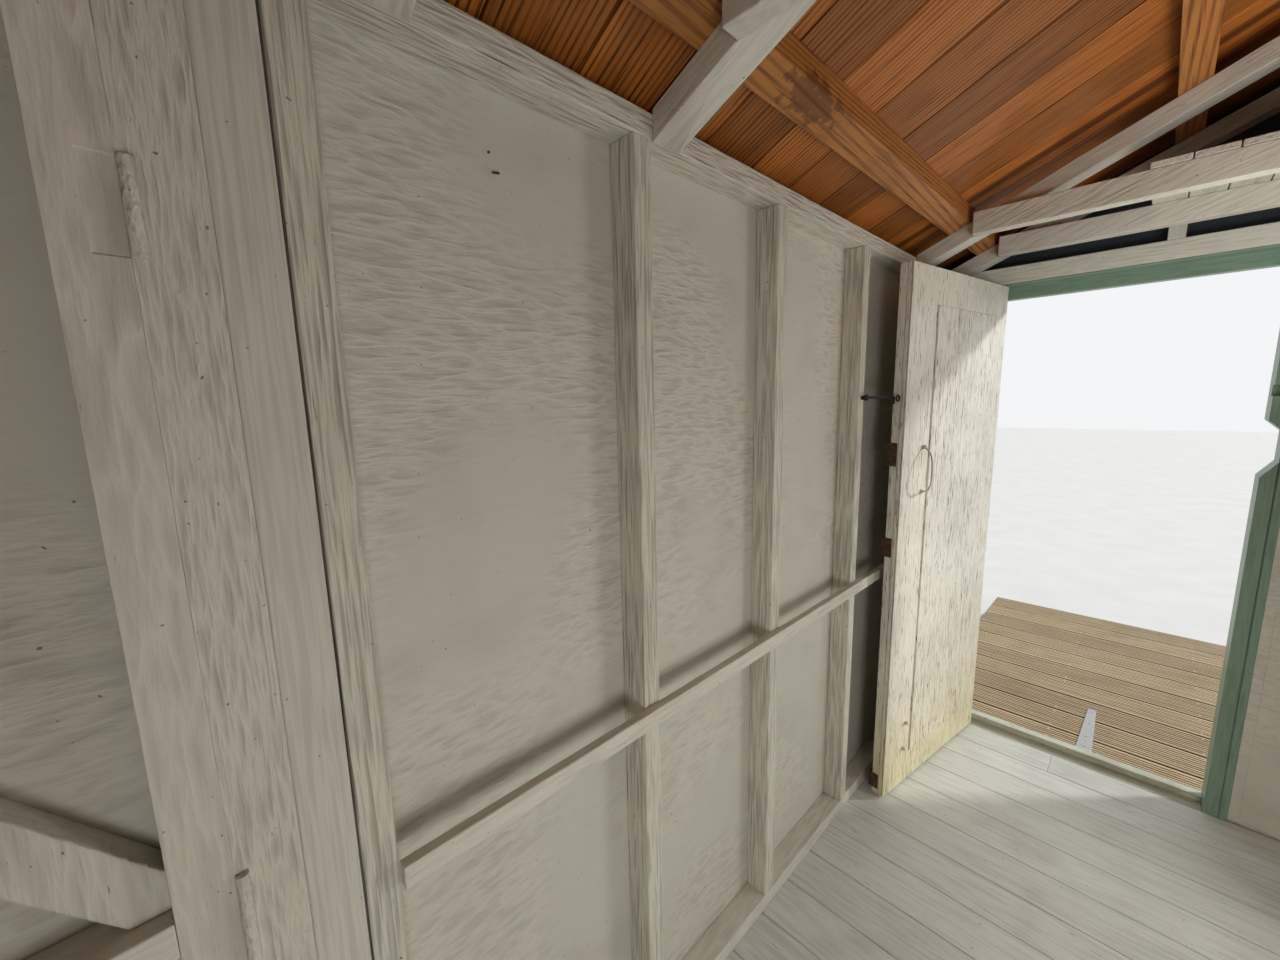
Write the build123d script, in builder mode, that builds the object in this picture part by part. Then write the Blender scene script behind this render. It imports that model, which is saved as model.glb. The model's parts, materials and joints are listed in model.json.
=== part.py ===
from build123d import *
import os
from math import cos, radians, sin, tan

os.makedirs("parts", exist_ok=True)

# Beach hut: a gabled timber hut with an inward-opening door and a deck flap hinged at its sill.
# Millimetres, +Z up, the front faces -Y, the ridge runs along Y above X = 0, Z = 0 is the ground.

# Hut body
hut_width = 2134
hut_length = 3658
boarding = 35
stud_width = 44
stud_depth = 65
wall_depth = boarding + stud_depth
bearer_width = 75
bearer_height = 125
bearer_count = 5
floor_thickness = 22
boarding_lap = 60
plate_height = 44
corner_width = 70

# Heights above the floor, the door's and the ties' taken from the eaves
eaves_rise = 2047
front_plate_height = 67
head_rebate = 7
stop_height = 48
tie_lift = 27
head_rise = eaves_rise - front_plate_height
rebate_rise = head_rise - head_rebate
opening_rise = rebate_rise - stop_height
tie_rise = eaves_rise + tie_lift

# Roof
roof_pitch = 23.3
rafter_width = 70
rafter_depth = 51
rafter_drop = 5
tie_thickness = 44
tie_depth = 72
tie_setback = 187
purlin_width = 70
purlin_depth = 50
upper_purlin_reach = 290
lower_purlin_setback = 137
ridge_half_width = 35
roof_board = 18
felt = 3
eaves_overhang = 75
end_overhang = 60
barge_depth = 120
trim = 19
eaves_board_height = 90
felt_drip = 30
loft_left = 359
loft_right = -481

# Distances behind the inner face of the front wall
first_stud_offset = 400
rear_stud_offsets = (1416, 1906, 2443)
post_widths = (("planed_post", 60), ("hinge_post", 65), ("shutter_post", 53))
post_gap = 3
front_truss_offset = 1
loft_truss_offset = 392
middle_truss_offset = 1810
post_truss_offset = 2310

# Fittings and rails of the side walls, heights above the floor
barrel_radius = 6.5
leaf_recess = 2
leaf_recess_width = 26
barrel_places = ((880, 120), (1675, 90))
rail_thickness = 20
rail_width = 38
rail_top_rise = 895
noggin_rise = 980
brace_width = 35
brace_depth = 40
brace_gap = 2

# Doorway and door
door_side_width = 182
left_jamb_width = 44
right_jamb_width = 59
jamb_projection = 5
notch_depth = 35
notch_rises = (1243, 1295, 1395, 1430)
quirk_reach = 38
quirk_width = 3
quirk_depth = 4
leaf_width = 768
leaf_thickness = 45
leaf_lift = 8
leaf_head_gap = 5
leaf_height = rebate_rise - leaf_lift - leaf_head_gap
hinge_inset = 6
latch_gap = 8
lower_butt_rise = 200
upper_butt_drop = 208
butt_height = 100
butt_radius = 5.7
edge_plate = 2
edge_plate_width = 24
hinge_setback = 12
rest_angle = 9.07
free_stile = 176
hinge_stile = 117
top_rail = 122
bottom_rail = 118
panel_groove = 15
panel_lap = 12
panel_layer = 18
edge_groove_places = (26, 40)
edge_groove_width = 2.5
edge_groove_depth = 4
sill_projection = 19
sill_strip = 53
sill_strip_height = 20
sill_step = 6
sill_fall = 2
sill_weathering = 6
sill_chamfer = 2
# Lock, keeper plate and bolt shoe: height above the floor, height, width and depth of each case
fittings = ((1290, 82, 68, 14), (960, 70, 30, 12), (30, 60, 34, 12))

# Rope pull knotted into the door's outer face, and the knots left of a second one.
# Each point: its place along the leaf, its height above the floor and its distance off the face.
rope_radius = 3
knot_radius = 8
knot_rise = 5
rope_bend_share = 0.45
rope_points = (
    (631, 1348, 9),
    (636, 1339, 25),
    (645, 1320, 38),
    (653, 1296, 46),
    (658, 1270, 49),
    (658, 1243, 49),
    (654, 1218, 45),
    (644, 1200, 34),
    (633, 1192, 20),
    (628, 1189, 7),
)
spare_knots = ((626, 266, 5), (636, 160, 5))

# Window beside the door
pier_width = 25
window_side_width = 181
window_bottom_rise = 1155
frame_border = 39
mullion_width = 137
glazing_bar = 22
frame_depth = 60
pane_thickness = 4

# Hook that holds the door open, on a stud behind the door's free edge
hook_stud_reach = 134
hook_rise = 1530
hook_bar = 8
hook_pin_radius = 3
hook_pin_play = 0.06
hook_ring_radius = 10
hook_standoff = 16
hook_side_room = 13
hook_head_radius = 7
hook_head = 2
hook_play = 0.5
eye_radius = 12
eye_wire = 4
eye_clearance = 6

# Deck flap
deck_side_clearance = 5
deck_depth = 1792
deck_gap = 40
deck_drop = 10
deck_board = 28
deck_joist_width = 45
deck_joist_height = 70
deck_joist_count = 5
deck_foot = 95
strap_length = 420
strap_root = 55
strap_tip = 30
strap_thickness = 3
strap_x = 365
knuckle_radius = 7
knuckle_play = 0.4

# Derived positions
half_width = hut_width / 2
lining_x = half_width - boarding
stud_face_x = half_width - wall_depth
floor_top = bearer_height + floor_thickness
plate_top = floor_top + eaves_rise
plate_bottom = plate_top - plate_height
head_top = floor_top + head_rise
boarding_bottom = bearer_height - boarding_lap
back_reach = end_overhang + trim
front_y = (deck_gap + deck_depth - hut_length - back_reach) / 2
back_y = front_y + hut_length
inner_front = front_y + wall_depth
inner_back = back_y - wall_depth
front_frame_y = front_y + boarding
back_frame_y = back_y - boarding
slope = tan(radians(roof_pitch))
rafter_rise = rafter_depth / cos(radians(roof_pitch))
purlin_rise = purlin_depth / cos(radians(roof_pitch))
board_rise = roof_board / cos(radians(roof_pitch))
felt_rise = felt / cos(radians(roof_pitch))
rafter_foot = plate_bottom - rafter_drop
tie_half_length = stud_face_x - tie_setback
purlin_reaches = (upper_purlin_reach, stud_face_x - lower_purlin_setback)
trim_board_half_width = half_width + trim - corner_width
deck_half_width = trim_board_half_width - deck_side_clearance
upper_butt_rise = leaf_lift + leaf_height - upper_butt_drop
butt_rises = (lower_butt_rise, (lower_butt_rise + upper_butt_rise) / 2, upper_butt_rise)
opening_left = lining_x - door_side_width - left_jamb_width
opening_right = opening_left - hinge_inset - leaf_width - latch_gap
left_jamb_outer = opening_left + left_jamb_width
right_jamb_outer = opening_right - right_jamb_width
window_left = right_jamb_outer - pier_width
window_right = window_side_width - lining_x
window_bottom = floor_top + window_bottom_rise
stud_offsets = (first_stud_offset, leaf_width + hook_stud_reach, *rear_stud_offsets)
hinge_x = opening_left - hinge_inset
hinge_y = inner_front - hinge_setback
eye_z = floor_top + hook_rise - eye_wire


def under_rafter(x):
    """Height of the rafters' underside at a distance x from the ridge."""
    return rafter_foot + (stud_face_x - abs(x)) * slope


def on_rafter(x):
    """Height of the rafters' top, on which the purlins lie."""
    return under_rafter(x) + rafter_rise


def under_board(x):
    """Height of the roof boards' underside."""
    return on_rafter(x) + purlin_rise


def rope_bend(before, corner, after):
    """Radius of the rope's arc at a corner: as large as its two runs allow."""
    run_in = corner - before
    run_out = after - corner
    half_turn = radians(run_in.get_angle(run_out)) / 2
    return rope_bend_share * min(run_in.length, run_out.length) / tan(half_turn)


def across(y):
    """A plane across the hut at y, looking towards the front."""
    return Plane.XZ.offset(-y)


# Floor

with BuildPart() as floor_bearers:
    bearer_pitch = (2 * lining_x - bearer_width) / (bearer_count - 1)
    bearer_length = back_frame_y - front_frame_y
    with BuildSketch(Plane.XY):
        with Locations((0, (front_frame_y + back_frame_y) / 2)):
            with GridLocations(bearer_pitch, 1, bearer_count, 1):
                Rectangle(bearer_width, bearer_length)
    extrude(amount=bearer_height)

with BuildPart() as floor:
    with BuildSketch(Plane.XY.offset(bearer_height)):
        with Locations((0, (inner_front + back_frame_y) / 2)):
            Rectangle(2 * lining_x, back_frame_y - inner_front)
    extrude(amount=floor_thickness)

with BuildPart() as door_sill:
    sill_width = opening_left - opening_right
    sill_outer = front_y - sill_projection
    with BuildSketch(Plane.YZ.offset(opening_right)):
        with BuildLine():
            Polyline(
                (inner_front, bearer_height),
                (inner_front, floor_top - sill_step),
                (sill_outer + sill_strip, floor_top - sill_step - sill_fall),
                (sill_outer + sill_strip, floor_top + sill_strip_height),
                (sill_outer, floor_top + sill_strip_height - sill_weathering),
                (sill_outer, bearer_height),
                close=True,
            )
        make_face()
    extrude(amount=sill_width)
    chamfer(door_sill.edges().filter_by(Axis.X).group_by(Axis.Z)[-1], length=sill_chamfer)

# Outer walls

with BuildPart() as left_wall:
    with BuildSketch(across(back_y)):
        with BuildLine():
            Polyline(
                (lining_x, boarding_bottom),
                (half_width, boarding_bottom),
                (half_width, under_board(half_width)),
                (lining_x, under_board(lining_x)),
                close=True,
            )
        make_face()
    extrude(amount=hut_length)

with BuildPart() as right_wall:
    add(left_wall.part.mirror(Plane.YZ))

with BuildPart() as back_wall:
    with BuildSketch(across(back_y)):
        with BuildLine():
            Polyline(
                (lining_x, boarding_bottom),
                (lining_x, under_board(lining_x)),
                (0, under_board(0)),
                (-lining_x, under_board(lining_x)),
                (-lining_x, boarding_bottom),
                close=True,
            )
        make_face()
    extrude(amount=boarding)

with BuildPart() as front_gable:
    with BuildSketch(across(front_frame_y)):
        with BuildLine():
            Polyline(
                (lining_x, head_top),
                (lining_x, under_board(lining_x)),
                (0, under_board(0)),
                (-lining_x, under_board(lining_x)),
                (-lining_x, head_top),
                close=True,
            )
        make_face()
    extrude(amount=boarding)

with BuildPart() as front_skirt_board:
    with BuildSketch(across(front_frame_y)):
        with Locations((0, (boarding_bottom + bearer_height) / 2)):
            Rectangle(2 * lining_x, boarding_lap)
    extrude(amount=boarding)

with BuildPart() as front_wall_left:
    with BuildSketch(Plane.XY.offset(bearer_height)):
        with Locations(((left_jamb_outer + lining_x) / 2, (front_y + inner_front) / 2)):
            Rectangle(lining_x - left_jamb_outer, wall_depth)
    extrude(amount=head_top - bearer_height)

with BuildPart() as front_pier:
    with BuildSketch(Plane.XY.offset(bearer_height)):
        with Locations(((right_jamb_outer + window_left) / 2, (front_y + inner_front) / 2)):
            Rectangle(right_jamb_outer - window_left, wall_depth)
    extrude(amount=floor_top + rebate_rise - bearer_height)

with BuildPart() as window_apron:
    with BuildSketch(Plane.XY.offset(bearer_height)):
        with Locations(((window_left + window_right) / 2, (front_y + inner_front) / 2)):
            Rectangle(window_left - window_right, wall_depth)
    extrude(amount=window_bottom - bearer_height)

with BuildPart() as front_wall_right:
    with BuildSketch(Plane.XY.offset(bearer_height)):
        with Locations(((window_right - lining_x) / 2, (front_y + inner_front) / 2)):
            Rectangle(window_right + lining_x, wall_depth)
    extrude(amount=head_top - bearer_height)

# Door frame

jamb_depth = wall_depth + jamb_projection
jamb_y = inner_front - jamb_depth / 2

with BuildPart() as left_jamb:
    with BuildSketch(Plane.XY.offset(bearer_height)):
        with Locations(((opening_left + left_jamb_outer) / 2, jamb_y)):
            Rectangle(left_jamb_width, jamb_depth)
    extrude(amount=floor_top + rebate_rise - bearer_height)

with BuildPart() as right_jamb:
    with BuildSketch(Plane.XY.offset(bearer_height)):
        with Locations(((opening_right + right_jamb_outer) / 2, jamb_y)):
            Rectangle(right_jamb_width, jamb_depth)
    extrude(amount=floor_top + rebate_rise - bearer_height)
    # The notch that takes the lock, cut through the jamb's whole depth
    with BuildSketch(across(inner_front)):
        with BuildLine():
            Polyline(
                (opening_right, floor_top + notch_rises[0]),
                (opening_right, floor_top + notch_rises[3]),
                (opening_right - notch_depth, floor_top + notch_rises[2]),
                (opening_right - notch_depth, floor_top + notch_rises[1]),
                close=True,
            )
        make_face()
    extrude(amount=jamb_depth, mode=Mode.SUBTRACT)
    # The quirk along its inner face, which leaves a narrow bead beside the lining
    with BuildSketch(across(inner_front)):
        with Locations((opening_right - quirk_reach, floor_top + rebate_rise / 2)):
            Rectangle(quirk_width, rebate_rise)
    extrude(amount=quirk_depth, mode=Mode.SUBTRACT)
    # The recess that the hook's eye enters when the door closes
    eye_recess = 2 * (eye_radius + eye_clearance)
    with BuildSketch(across(inner_front)):
        with Locations((hinge_x - leaf_width - eye_radius, eye_z)):
            Rectangle(eye_recess, eye_recess)
    extrude(amount=hinge_setback + (leaf_thickness + eye_wire) / 2 + eye_clearance, mode=Mode.SUBTRACT)

with BuildPart() as door_head:
    stop_depth = sill_strip - sill_projection + jamb_projection
    with BuildSketch(Plane.YZ.offset(window_right)):
        with BuildLine():
            Polyline(
                (inner_front, floor_top + rebate_rise),
                (inner_front, head_top),
                (inner_front - jamb_depth, head_top),
                (inner_front - jamb_depth, floor_top + rebate_rise),
                close=True,
            )
        make_face()
    extrude(amount=left_jamb_outer - window_right)
    # The lip that stops the closed door
    with BuildSketch(Plane.YZ.offset(opening_right)):
        with Locations((inner_front - jamb_depth + stop_depth / 2, floor_top + (opening_rise + rebate_rise) / 2)):
            Rectangle(stop_depth, rebate_rise - opening_rise)
    extrude(amount=opening_left - opening_right)

with BuildPart() as front_plate:
    with BuildSketch(Plane.XY.offset(head_top)):
        with Locations((0, (front_frame_y + inner_front) / 2)):
            Rectangle(2 * lining_x, stud_depth)
    extrude(amount=plate_top - head_top)

with BuildPart() as gable_studs:
    gable_stud_near = purlin_reaches[0] - stud_width / 2
    gable_stud_far = purlin_reaches[0] + stud_width / 2
    with BuildSketch(across(inner_front)):
        with BuildLine():
            Polyline(
                (gable_stud_near, plate_top),
                (gable_stud_far, plate_top),
                (gable_stud_far, on_rafter(gable_stud_far)),
                (gable_stud_near, on_rafter(gable_stud_near)),
                close=True,
            )
        make_face()
        mirror(about=Plane.YZ)
    extrude(amount=stud_depth)

# Window

with BuildPart() as window_frame:
    frame_top = floor_top + rebate_rise
    frame_width = window_left - window_right
    frame_height = frame_top - window_bottom
    frame_front = front_y + (wall_depth - frame_depth) / 2
    light_bottom = window_bottom + frame_border
    light_top = frame_top - frame_border
    bar_z = (light_bottom + light_top) / 2
    window_middle = (window_left + window_right) / 2
    lights = (
        (window_left - frame_border, window_middle + mullion_width / 2),
        (window_middle - mullion_width / 2, window_right + frame_border),
    )
    with BuildSketch(across(frame_front + frame_depth)):
        with Locations((window_middle, (window_bottom + frame_top) / 2)):
            Rectangle(frame_width, frame_height)
        for light_left, light_right in lights:
            with Locations(((light_left + light_right) / 2, (light_bottom + light_top) / 2)):
                Rectangle(light_left - light_right, light_top - light_bottom, mode=Mode.SUBTRACT)
            with Locations(((light_left + light_right) / 2, bar_z)):
                Rectangle(light_left - light_right, glazing_bar)
    extrude(amount=frame_depth)

with BuildPart() as window_panes:
    pane_y = front_y + wall_depth / 2 - pane_thickness / 2
    for light_left, light_right in lights:
        bar_bottom = bar_z - glazing_bar / 2
        bar_top = bar_z + glazing_bar / 2
        with BuildSketch(across(pane_y + pane_thickness)):
            with Locations(((light_left + light_right) / 2, (light_bottom + bar_bottom) / 2)):
                Rectangle(light_left - light_right, bar_bottom - light_bottom)
            with Locations(((light_left + light_right) / 2, (bar_top + light_top) / 2)):
                Rectangle(light_left - light_right, light_top - bar_top)
        extrude(amount=pane_thickness)

# Wall frames

sole_top = floor_top + plate_height
side_frame_x = (stud_face_x + lining_x) / 2
frame_length = back_frame_y - inner_front

with BuildPart() as sole_plates:
    with BuildSketch(Plane.XY.offset(floor_top)):
        with Locations((0, (inner_front + back_frame_y) / 2)):
            Rectangle(2 * lining_x, frame_length)
        with Locations((0, (inner_front + inner_back) / 2)):
            Rectangle(2 * stud_face_x, inner_back - inner_front, mode=Mode.SUBTRACT)
    extrude(amount=plate_height)

with BuildPart() as wall_plates:
    with BuildSketch(Plane.XY.offset(plate_bottom)):
        with Locations((0, (inner_front + back_frame_y) / 2)):
            Rectangle(2 * lining_x, frame_length)
        with Locations((0, (inner_front + inner_back) / 2)):
            Rectangle(2 * stud_face_x, inner_back - inner_front, mode=Mode.SUBTRACT)
    extrude(amount=plate_height)

with BuildPart() as left_studs:
    with BuildSketch(Plane.XY.offset(sole_top)):
        with Locations(*[(side_frame_x, inner_front + offset) for offset in stud_offsets]):
            Rectangle(stud_depth, stud_width)
    extrude(amount=plate_bottom - sole_top)

with BuildPart() as right_studs:
    add(left_studs.part.mirror(Plane.YZ))

with BuildPart() as back_studs:
    with BuildSketch(Plane.XY.offset(sole_top)):
        with Locations((0, (inner_back + back_frame_y) / 2)):
            with GridLocations(2 * side_frame_x, 1, 2, 1):
                Rectangle(stud_depth, stud_depth)
            with GridLocations(side_frame_x / 2, 1, 3, 1):
                Rectangle(stud_width, stud_depth)
    extrude(amount=plate_bottom - sole_top)

# Posts with the hinge barrels of a missing shutter, on the left wall

post_y = inner_front + stud_offsets[-1] + stud_width / 2 + post_gap
post_parts = {}
for post_name, post_width in post_widths:
    with BuildPart() as post:
        with BuildSketch(Plane.XY.offset(sole_top)):
            with Locations((side_frame_x, post_y + post_width / 2)):
                Rectangle(stud_depth, post_width)
        extrude(amount=plate_bottom - sole_top)
        if post_name == "shutter_post":
            # The shallow recesses of the hinge leaves, beside the barrels
            for barrel_rise, barrel_length in barrel_places:
                with BuildSketch(Plane.XY.offset(floor_top + barrel_rise)):
                    with Locations((stud_face_x + leaf_recess / 2, post_y + leaf_recess_width / 2)):
                        Rectangle(leaf_recess, leaf_recess_width)
                extrude(amount=barrel_length, mode=Mode.SUBTRACT)
    post_parts[post_name] = post
    post_y = post_y + post_width

with BuildPart() as post_hinges:
    barrel_y = post_y - post_widths[-1][1] - barrel_radius
    for barrel_rise, barrel_length in barrel_places:
        with BuildSketch(Plane.XY.offset(floor_top + barrel_rise)):
            with Locations((stud_face_x - barrel_radius / 2, barrel_y)):
                Circle(barrel_radius)
            with Locations((side_frame_x, barrel_y)):
                Rectangle(stud_depth, 4 * barrel_radius, mode=Mode.SUBTRACT)
        extrude(amount=barrel_length)

# Rails on the side walls and the brace in the corner

noggin_top = floor_top + noggin_rise

with BuildPart() as mid_rails:
    rail_length = stud_offsets[-1] - stud_width / 2
    with BuildSketch(Plane.XY.offset(floor_top + rail_top_rise - rail_width)):
        with Locations((stud_face_x - rail_thickness / 2, inner_front + rail_length / 2)):
            Rectangle(rail_thickness, rail_length)
        mirror(about=Plane.YZ)
    extrude(amount=rail_width)

with BuildPart() as corner_noggin:
    noggin_length = inner_back - post_y
    with BuildSketch(Plane.XY.offset(noggin_top - stud_width)):
        with Locations((side_frame_x, (post_y + inner_back) / 2)):
            Rectangle(stud_depth, noggin_length)
    extrude(amount=stud_width)

with BuildPart() as corner_brace:
    brace_head = inner_back - brace_gap
    brace_lean = (plate_bottom - noggin_top) / (brace_head - brace_width - post_y)
    with BuildSketch(Plane.YZ.offset(lining_x - brace_depth)):
        with BuildLine():
            Polyline(
                (post_y, noggin_top),
                (post_y + brace_width, noggin_top),
                (brace_head, plate_bottom),
                (brace_head - 2 * brace_width, plate_bottom),
                (post_y, noggin_top + brace_width * brace_lean),
                close=True,
            )
        make_face()
    extrude(amount=brace_depth)

# Roof trusses: a pair of rafters and a tie nailed to their rear face


def truss_outline():
    """The closed outline of a pair of rafters, feet cut plumb against the plates."""
    return [
        (stud_face_x, under_rafter(stud_face_x)),
        (0, under_rafter(0)),
        (-stud_face_x, under_rafter(stud_face_x)),
        (-stud_face_x, on_rafter(stud_face_x)),
        (0, on_rafter(0)),
        (stud_face_x, on_rafter(stud_face_x)),
    ]


tie_z = floor_top + tie_rise + tie_depth / 2
back_truss_offset = inner_back - inner_front - rafter_width - front_truss_offset
truss_offsets = {
    "front_truss": front_truss_offset,
    "loft_truss": loft_truss_offset,
    "middle_truss": middle_truss_offset,
    "post_truss": post_truss_offset,
    "back_truss": back_truss_offset,
}
truss_parts = {}
for truss_name, truss_offset in truss_offsets.items():
    rear_y = inner_front + truss_offset + rafter_width
    tie_forward = truss_name == "back_truss"
    with BuildPart() as truss:
        with BuildSketch(across(rear_y)):
            with BuildLine():
                Polyline(*truss_outline(), close=True)
            make_face()
        extrude(amount=rafter_width)
        tie_y = rear_y - rafter_width if tie_forward else rear_y + tie_thickness
        with BuildSketch(across(tie_y)):
            with Locations((0, tie_z)):
                Rectangle(2 * tie_half_length, tie_depth)
        extrude(amount=tie_thickness)
    truss_parts[truss_name] = truss

with BuildPart() as purlins:
    with BuildSketch(across(back_frame_y)):
        for reach in purlin_reaches:
            purlin_run = purlin_width * cos(radians(roof_pitch)) / 2
            with BuildLine():
                Polyline(
                    (reach - purlin_run, on_rafter(reach - purlin_run)),
                    (reach + purlin_run, on_rafter(reach + purlin_run)),
                    (reach + purlin_run, under_board(reach + purlin_run)),
                    (reach - purlin_run, under_board(reach - purlin_run)),
                    close=True,
                )
            make_face()
        mirror(about=Plane.YZ)
    extrude(amount=back_frame_y - front_frame_y)

with BuildPart() as ridge_board:
    with BuildSketch(across(back_frame_y)):
        with BuildLine():
            Polyline(
                (-ridge_half_width, on_rafter(ridge_half_width)),
                (0, on_rafter(0)),
                (ridge_half_width, on_rafter(ridge_half_width)),
                (ridge_half_width, under_board(ridge_half_width)),
                (0, under_board(0)),
                (-ridge_half_width, under_board(ridge_half_width)),
                close=True,
            )
        make_face()
    extrude(amount=back_frame_y - front_frame_y)

with BuildPart() as loft_boards:
    loft_rear = inner_front + loft_truss_offset + rafter_width + tie_thickness
    with BuildSketch(Plane.XY.offset(floor_top + tie_rise + tie_depth)):
        with Locations(((loft_left + loft_right) / 2, (inner_front + loft_rear) / 2)):
            Rectangle(loft_left - loft_right, loft_rear - inner_front)
    extrude(amount=roof_board)

# Roof covering and trim

eaves_x = half_width + eaves_overhang
roof_front = front_y - end_overhang
roof_back = back_y + end_overhang
roof_length = roof_back - roof_front

with BuildPart() as left_roof_boards:
    with BuildSketch(across(roof_back)):
        with BuildLine():
            Polyline(
                (0, under_board(0)),
                (eaves_x, under_board(eaves_x)),
                (eaves_x, under_board(eaves_x) + board_rise),
                (0, under_board(0) + board_rise),
                close=True,
            )
        make_face()
    extrude(amount=roof_length)

with BuildPart() as right_roof_boards:
    add(left_roof_boards.part.mirror(Plane.YZ))

with BuildPart() as eaves_boards:
    eaves_board_top = under_board(eaves_x + trim) + board_rise
    with BuildSketch(across(roof_back)):
        with Locations((eaves_x + trim / 2, eaves_board_top - eaves_board_height / 2)):
            Rectangle(trim, eaves_board_height)
        mirror(about=Plane.YZ)
    extrude(amount=roof_length)

with BuildPart() as barge_boards:
    barge_x = eaves_x + trim
    barge_top = board_rise
    barge_drop = barge_depth / cos(radians(roof_pitch))
    for barge_y in (roof_front, roof_back + trim):
        with BuildSketch(across(barge_y)):
            with BuildLine():
                Polyline(
                    (barge_x, under_board(barge_x) + barge_top),
                    (0, under_board(0) + barge_top),
                    (-barge_x, under_board(barge_x) + barge_top),
                    (-barge_x, under_board(barge_x) + barge_top - barge_drop),
                    (0, under_board(0) + barge_top - barge_drop),
                    (barge_x, under_board(barge_x) + barge_top - barge_drop),
                    close=True,
                )
            make_face()
        extrude(amount=trim)

with BuildPart() as roof_felt:
    felt_edge = barge_x + felt
    felt_top = board_rise + felt_rise
    with BuildSketch(across(roof_back + trim)):
        with BuildLine():
            Polyline(
                (0, under_board(0) + board_rise),
                (barge_x, under_board(barge_x) + board_rise),
                (barge_x, under_board(barge_x) + board_rise - felt_drip),
                (felt_edge, under_board(barge_x) + board_rise - felt_drip),
                (felt_edge, under_board(felt_edge) + felt_top),
                (0, under_board(0) + felt_top),
                close=True,
            )
        make_face()
        mirror(about=Plane.YZ)
    extrude(amount=roof_length + 2 * trim)

with BuildPart() as corner_boards:
    corner_top = under_board(half_width + trim) - trim
    with BuildSketch(Plane.XY.offset(boarding_bottom)):
        with Locations((half_width + trim - corner_width / 2, front_y - trim + corner_width / 2)):
            Rectangle(corner_width, corner_width)
        with Locations((half_width - corner_width / 2, front_y + corner_width / 2)):
            Rectangle(corner_width, corner_width, mode=Mode.SUBTRACT)
        with Locations((half_width + trim - corner_width / 2, back_y + trim - corner_width / 2)):
            Rectangle(corner_width, corner_width)
        with Locations((half_width - corner_width / 2, back_y - corner_width / 2)):
            Rectangle(corner_width, corner_width, mode=Mode.SUBTRACT)
        mirror(about=Plane.YZ)
    extrude(amount=corner_top - boarding_bottom)

# Door leaf, drawn standing open; the sketches lie on the leaf's inner face, x along it from the hinge

leaf_along = Vector(sin(radians(rest_angle)), cos(radians(rest_angle)), 0)
leaf_out = Vector(-cos(radians(rest_angle)), sin(radians(rest_angle)), 0)
leaf_plane = Plane(origin=(hinge_x, hinge_y, 0), x_dir=leaf_along, z_dir=-leaf_out)
leaf_bottom = floor_top + leaf_lift
leaf_top = leaf_bottom + leaf_height

panel_near = hinge_stile
panel_far = leaf_width - free_stile
lap_near = panel_near - panel_lap
lap_far = panel_far - panel_groove
panel_bottom = leaf_bottom + bottom_rail
panel_top = leaf_top - top_rail

with BuildPart() as door_frame:
    with BuildSketch(leaf_plane):
        with Locations((leaf_width / 2, leaf_bottom + leaf_height / 2)):
            Rectangle(leaf_width, leaf_height)
        with Locations(((panel_near + panel_far) / 2, (panel_bottom + panel_top) / 2)):
            Rectangle(panel_far - panel_near, panel_top - panel_bottom, mode=Mode.SUBTRACT)
    extrude(amount=-leaf_thickness)
    # The shallow rebate around the panel on the outer face
    with BuildSketch(leaf_plane.offset(-leaf_thickness)):
        with Locations(((lap_near + panel_far) / 2, (panel_bottom + panel_top) / 2)):
            Rectangle(panel_far - lap_near, panel_top - panel_bottom)
    extrude(amount=panel_layer, mode=Mode.SUBTRACT)
    # The two grooves along the free edge
    with BuildSketch(Plane(origin=(hinge_x, hinge_y, leaf_bottom), x_dir=leaf_along)):
        with Locations(*[(leaf_width - edge_groove_depth / 2, place) for place in edge_groove_places]):
            Rectangle(edge_groove_depth, edge_groove_width)
    extrude(amount=leaf_height, mode=Mode.SUBTRACT)
    # The corner let in for the hinge knuckles
    for butt_rise in butt_rises:
        with BuildSketch(Plane.XY.offset(floor_top + butt_rise)):
            with Locations((hinge_x, hinge_y)):
                Circle(butt_radius)
        extrude(amount=butt_height, mode=Mode.SUBTRACT)

with BuildPart() as door_hinges:
    for butt_rise in butt_rises:
        with BuildSketch(Plane.XY.offset(floor_top + butt_rise)):
            with Locations((hinge_x, hinge_y)):
                Circle(butt_radius)
        extrude(amount=butt_height)

with BuildPart() as door_panel:
    with BuildSketch(leaf_plane.offset(-leaf_thickness)):
        with Locations(((lap_near + lap_far) / 2, (panel_bottom + panel_top) / 2)):
            Rectangle(lap_far - lap_near, panel_top - panel_bottom)
    extrude(amount=panel_layer)
    with BuildSketch(leaf_plane.offset(panel_layer - leaf_thickness)):
        with Locations(((panel_near + panel_far) / 2, (panel_bottom + panel_top) / 2)):
            Rectangle(panel_far - panel_near, panel_top - panel_bottom)
    extrude(amount=panel_layer)

with BuildPart() as door_fittings:
    # Each is a case on the inner face and a plate on the free edge
    for fitting_rise, fitting_height, case_width, case_depth in fittings:
        fitting_mid = floor_top + fitting_rise + fitting_height / 2
        with BuildSketch(leaf_plane):
            with Locations((leaf_width + edge_plate - (case_width + edge_plate) / 2, fitting_mid)):
                Rectangle(case_width + edge_plate, fitting_height)
        extrude(amount=case_depth)
        with BuildSketch(leaf_plane):
            with Locations((leaf_width + edge_plate / 2, fitting_mid)):
                Rectangle(edge_plate, fitting_height)
        extrude(amount=-edge_plate_width)

# Rope pull on the door's outer face


def off_leaf(along, rise, off):
    """A point off the leaf's outer face."""
    return leaf_plane.from_local_coords(Vector(along, floor_top + rise, -leaf_thickness - off))


rope_route = [off_leaf(*point) for point in rope_points]
rope_bends = [rope_bend(*corner) for corner in zip(rope_route, rope_route[1:], rope_route[2:])]
print("rope bends", [round(bend) for bend in rope_bends])
rope_ends = [
    Plane(origin=rope_route[0], z_dir=rope_route[1] - rope_route[0]),
    Plane(origin=rope_route[-1], z_dir=rope_route[-2] - rope_route[-1]),
]

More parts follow.
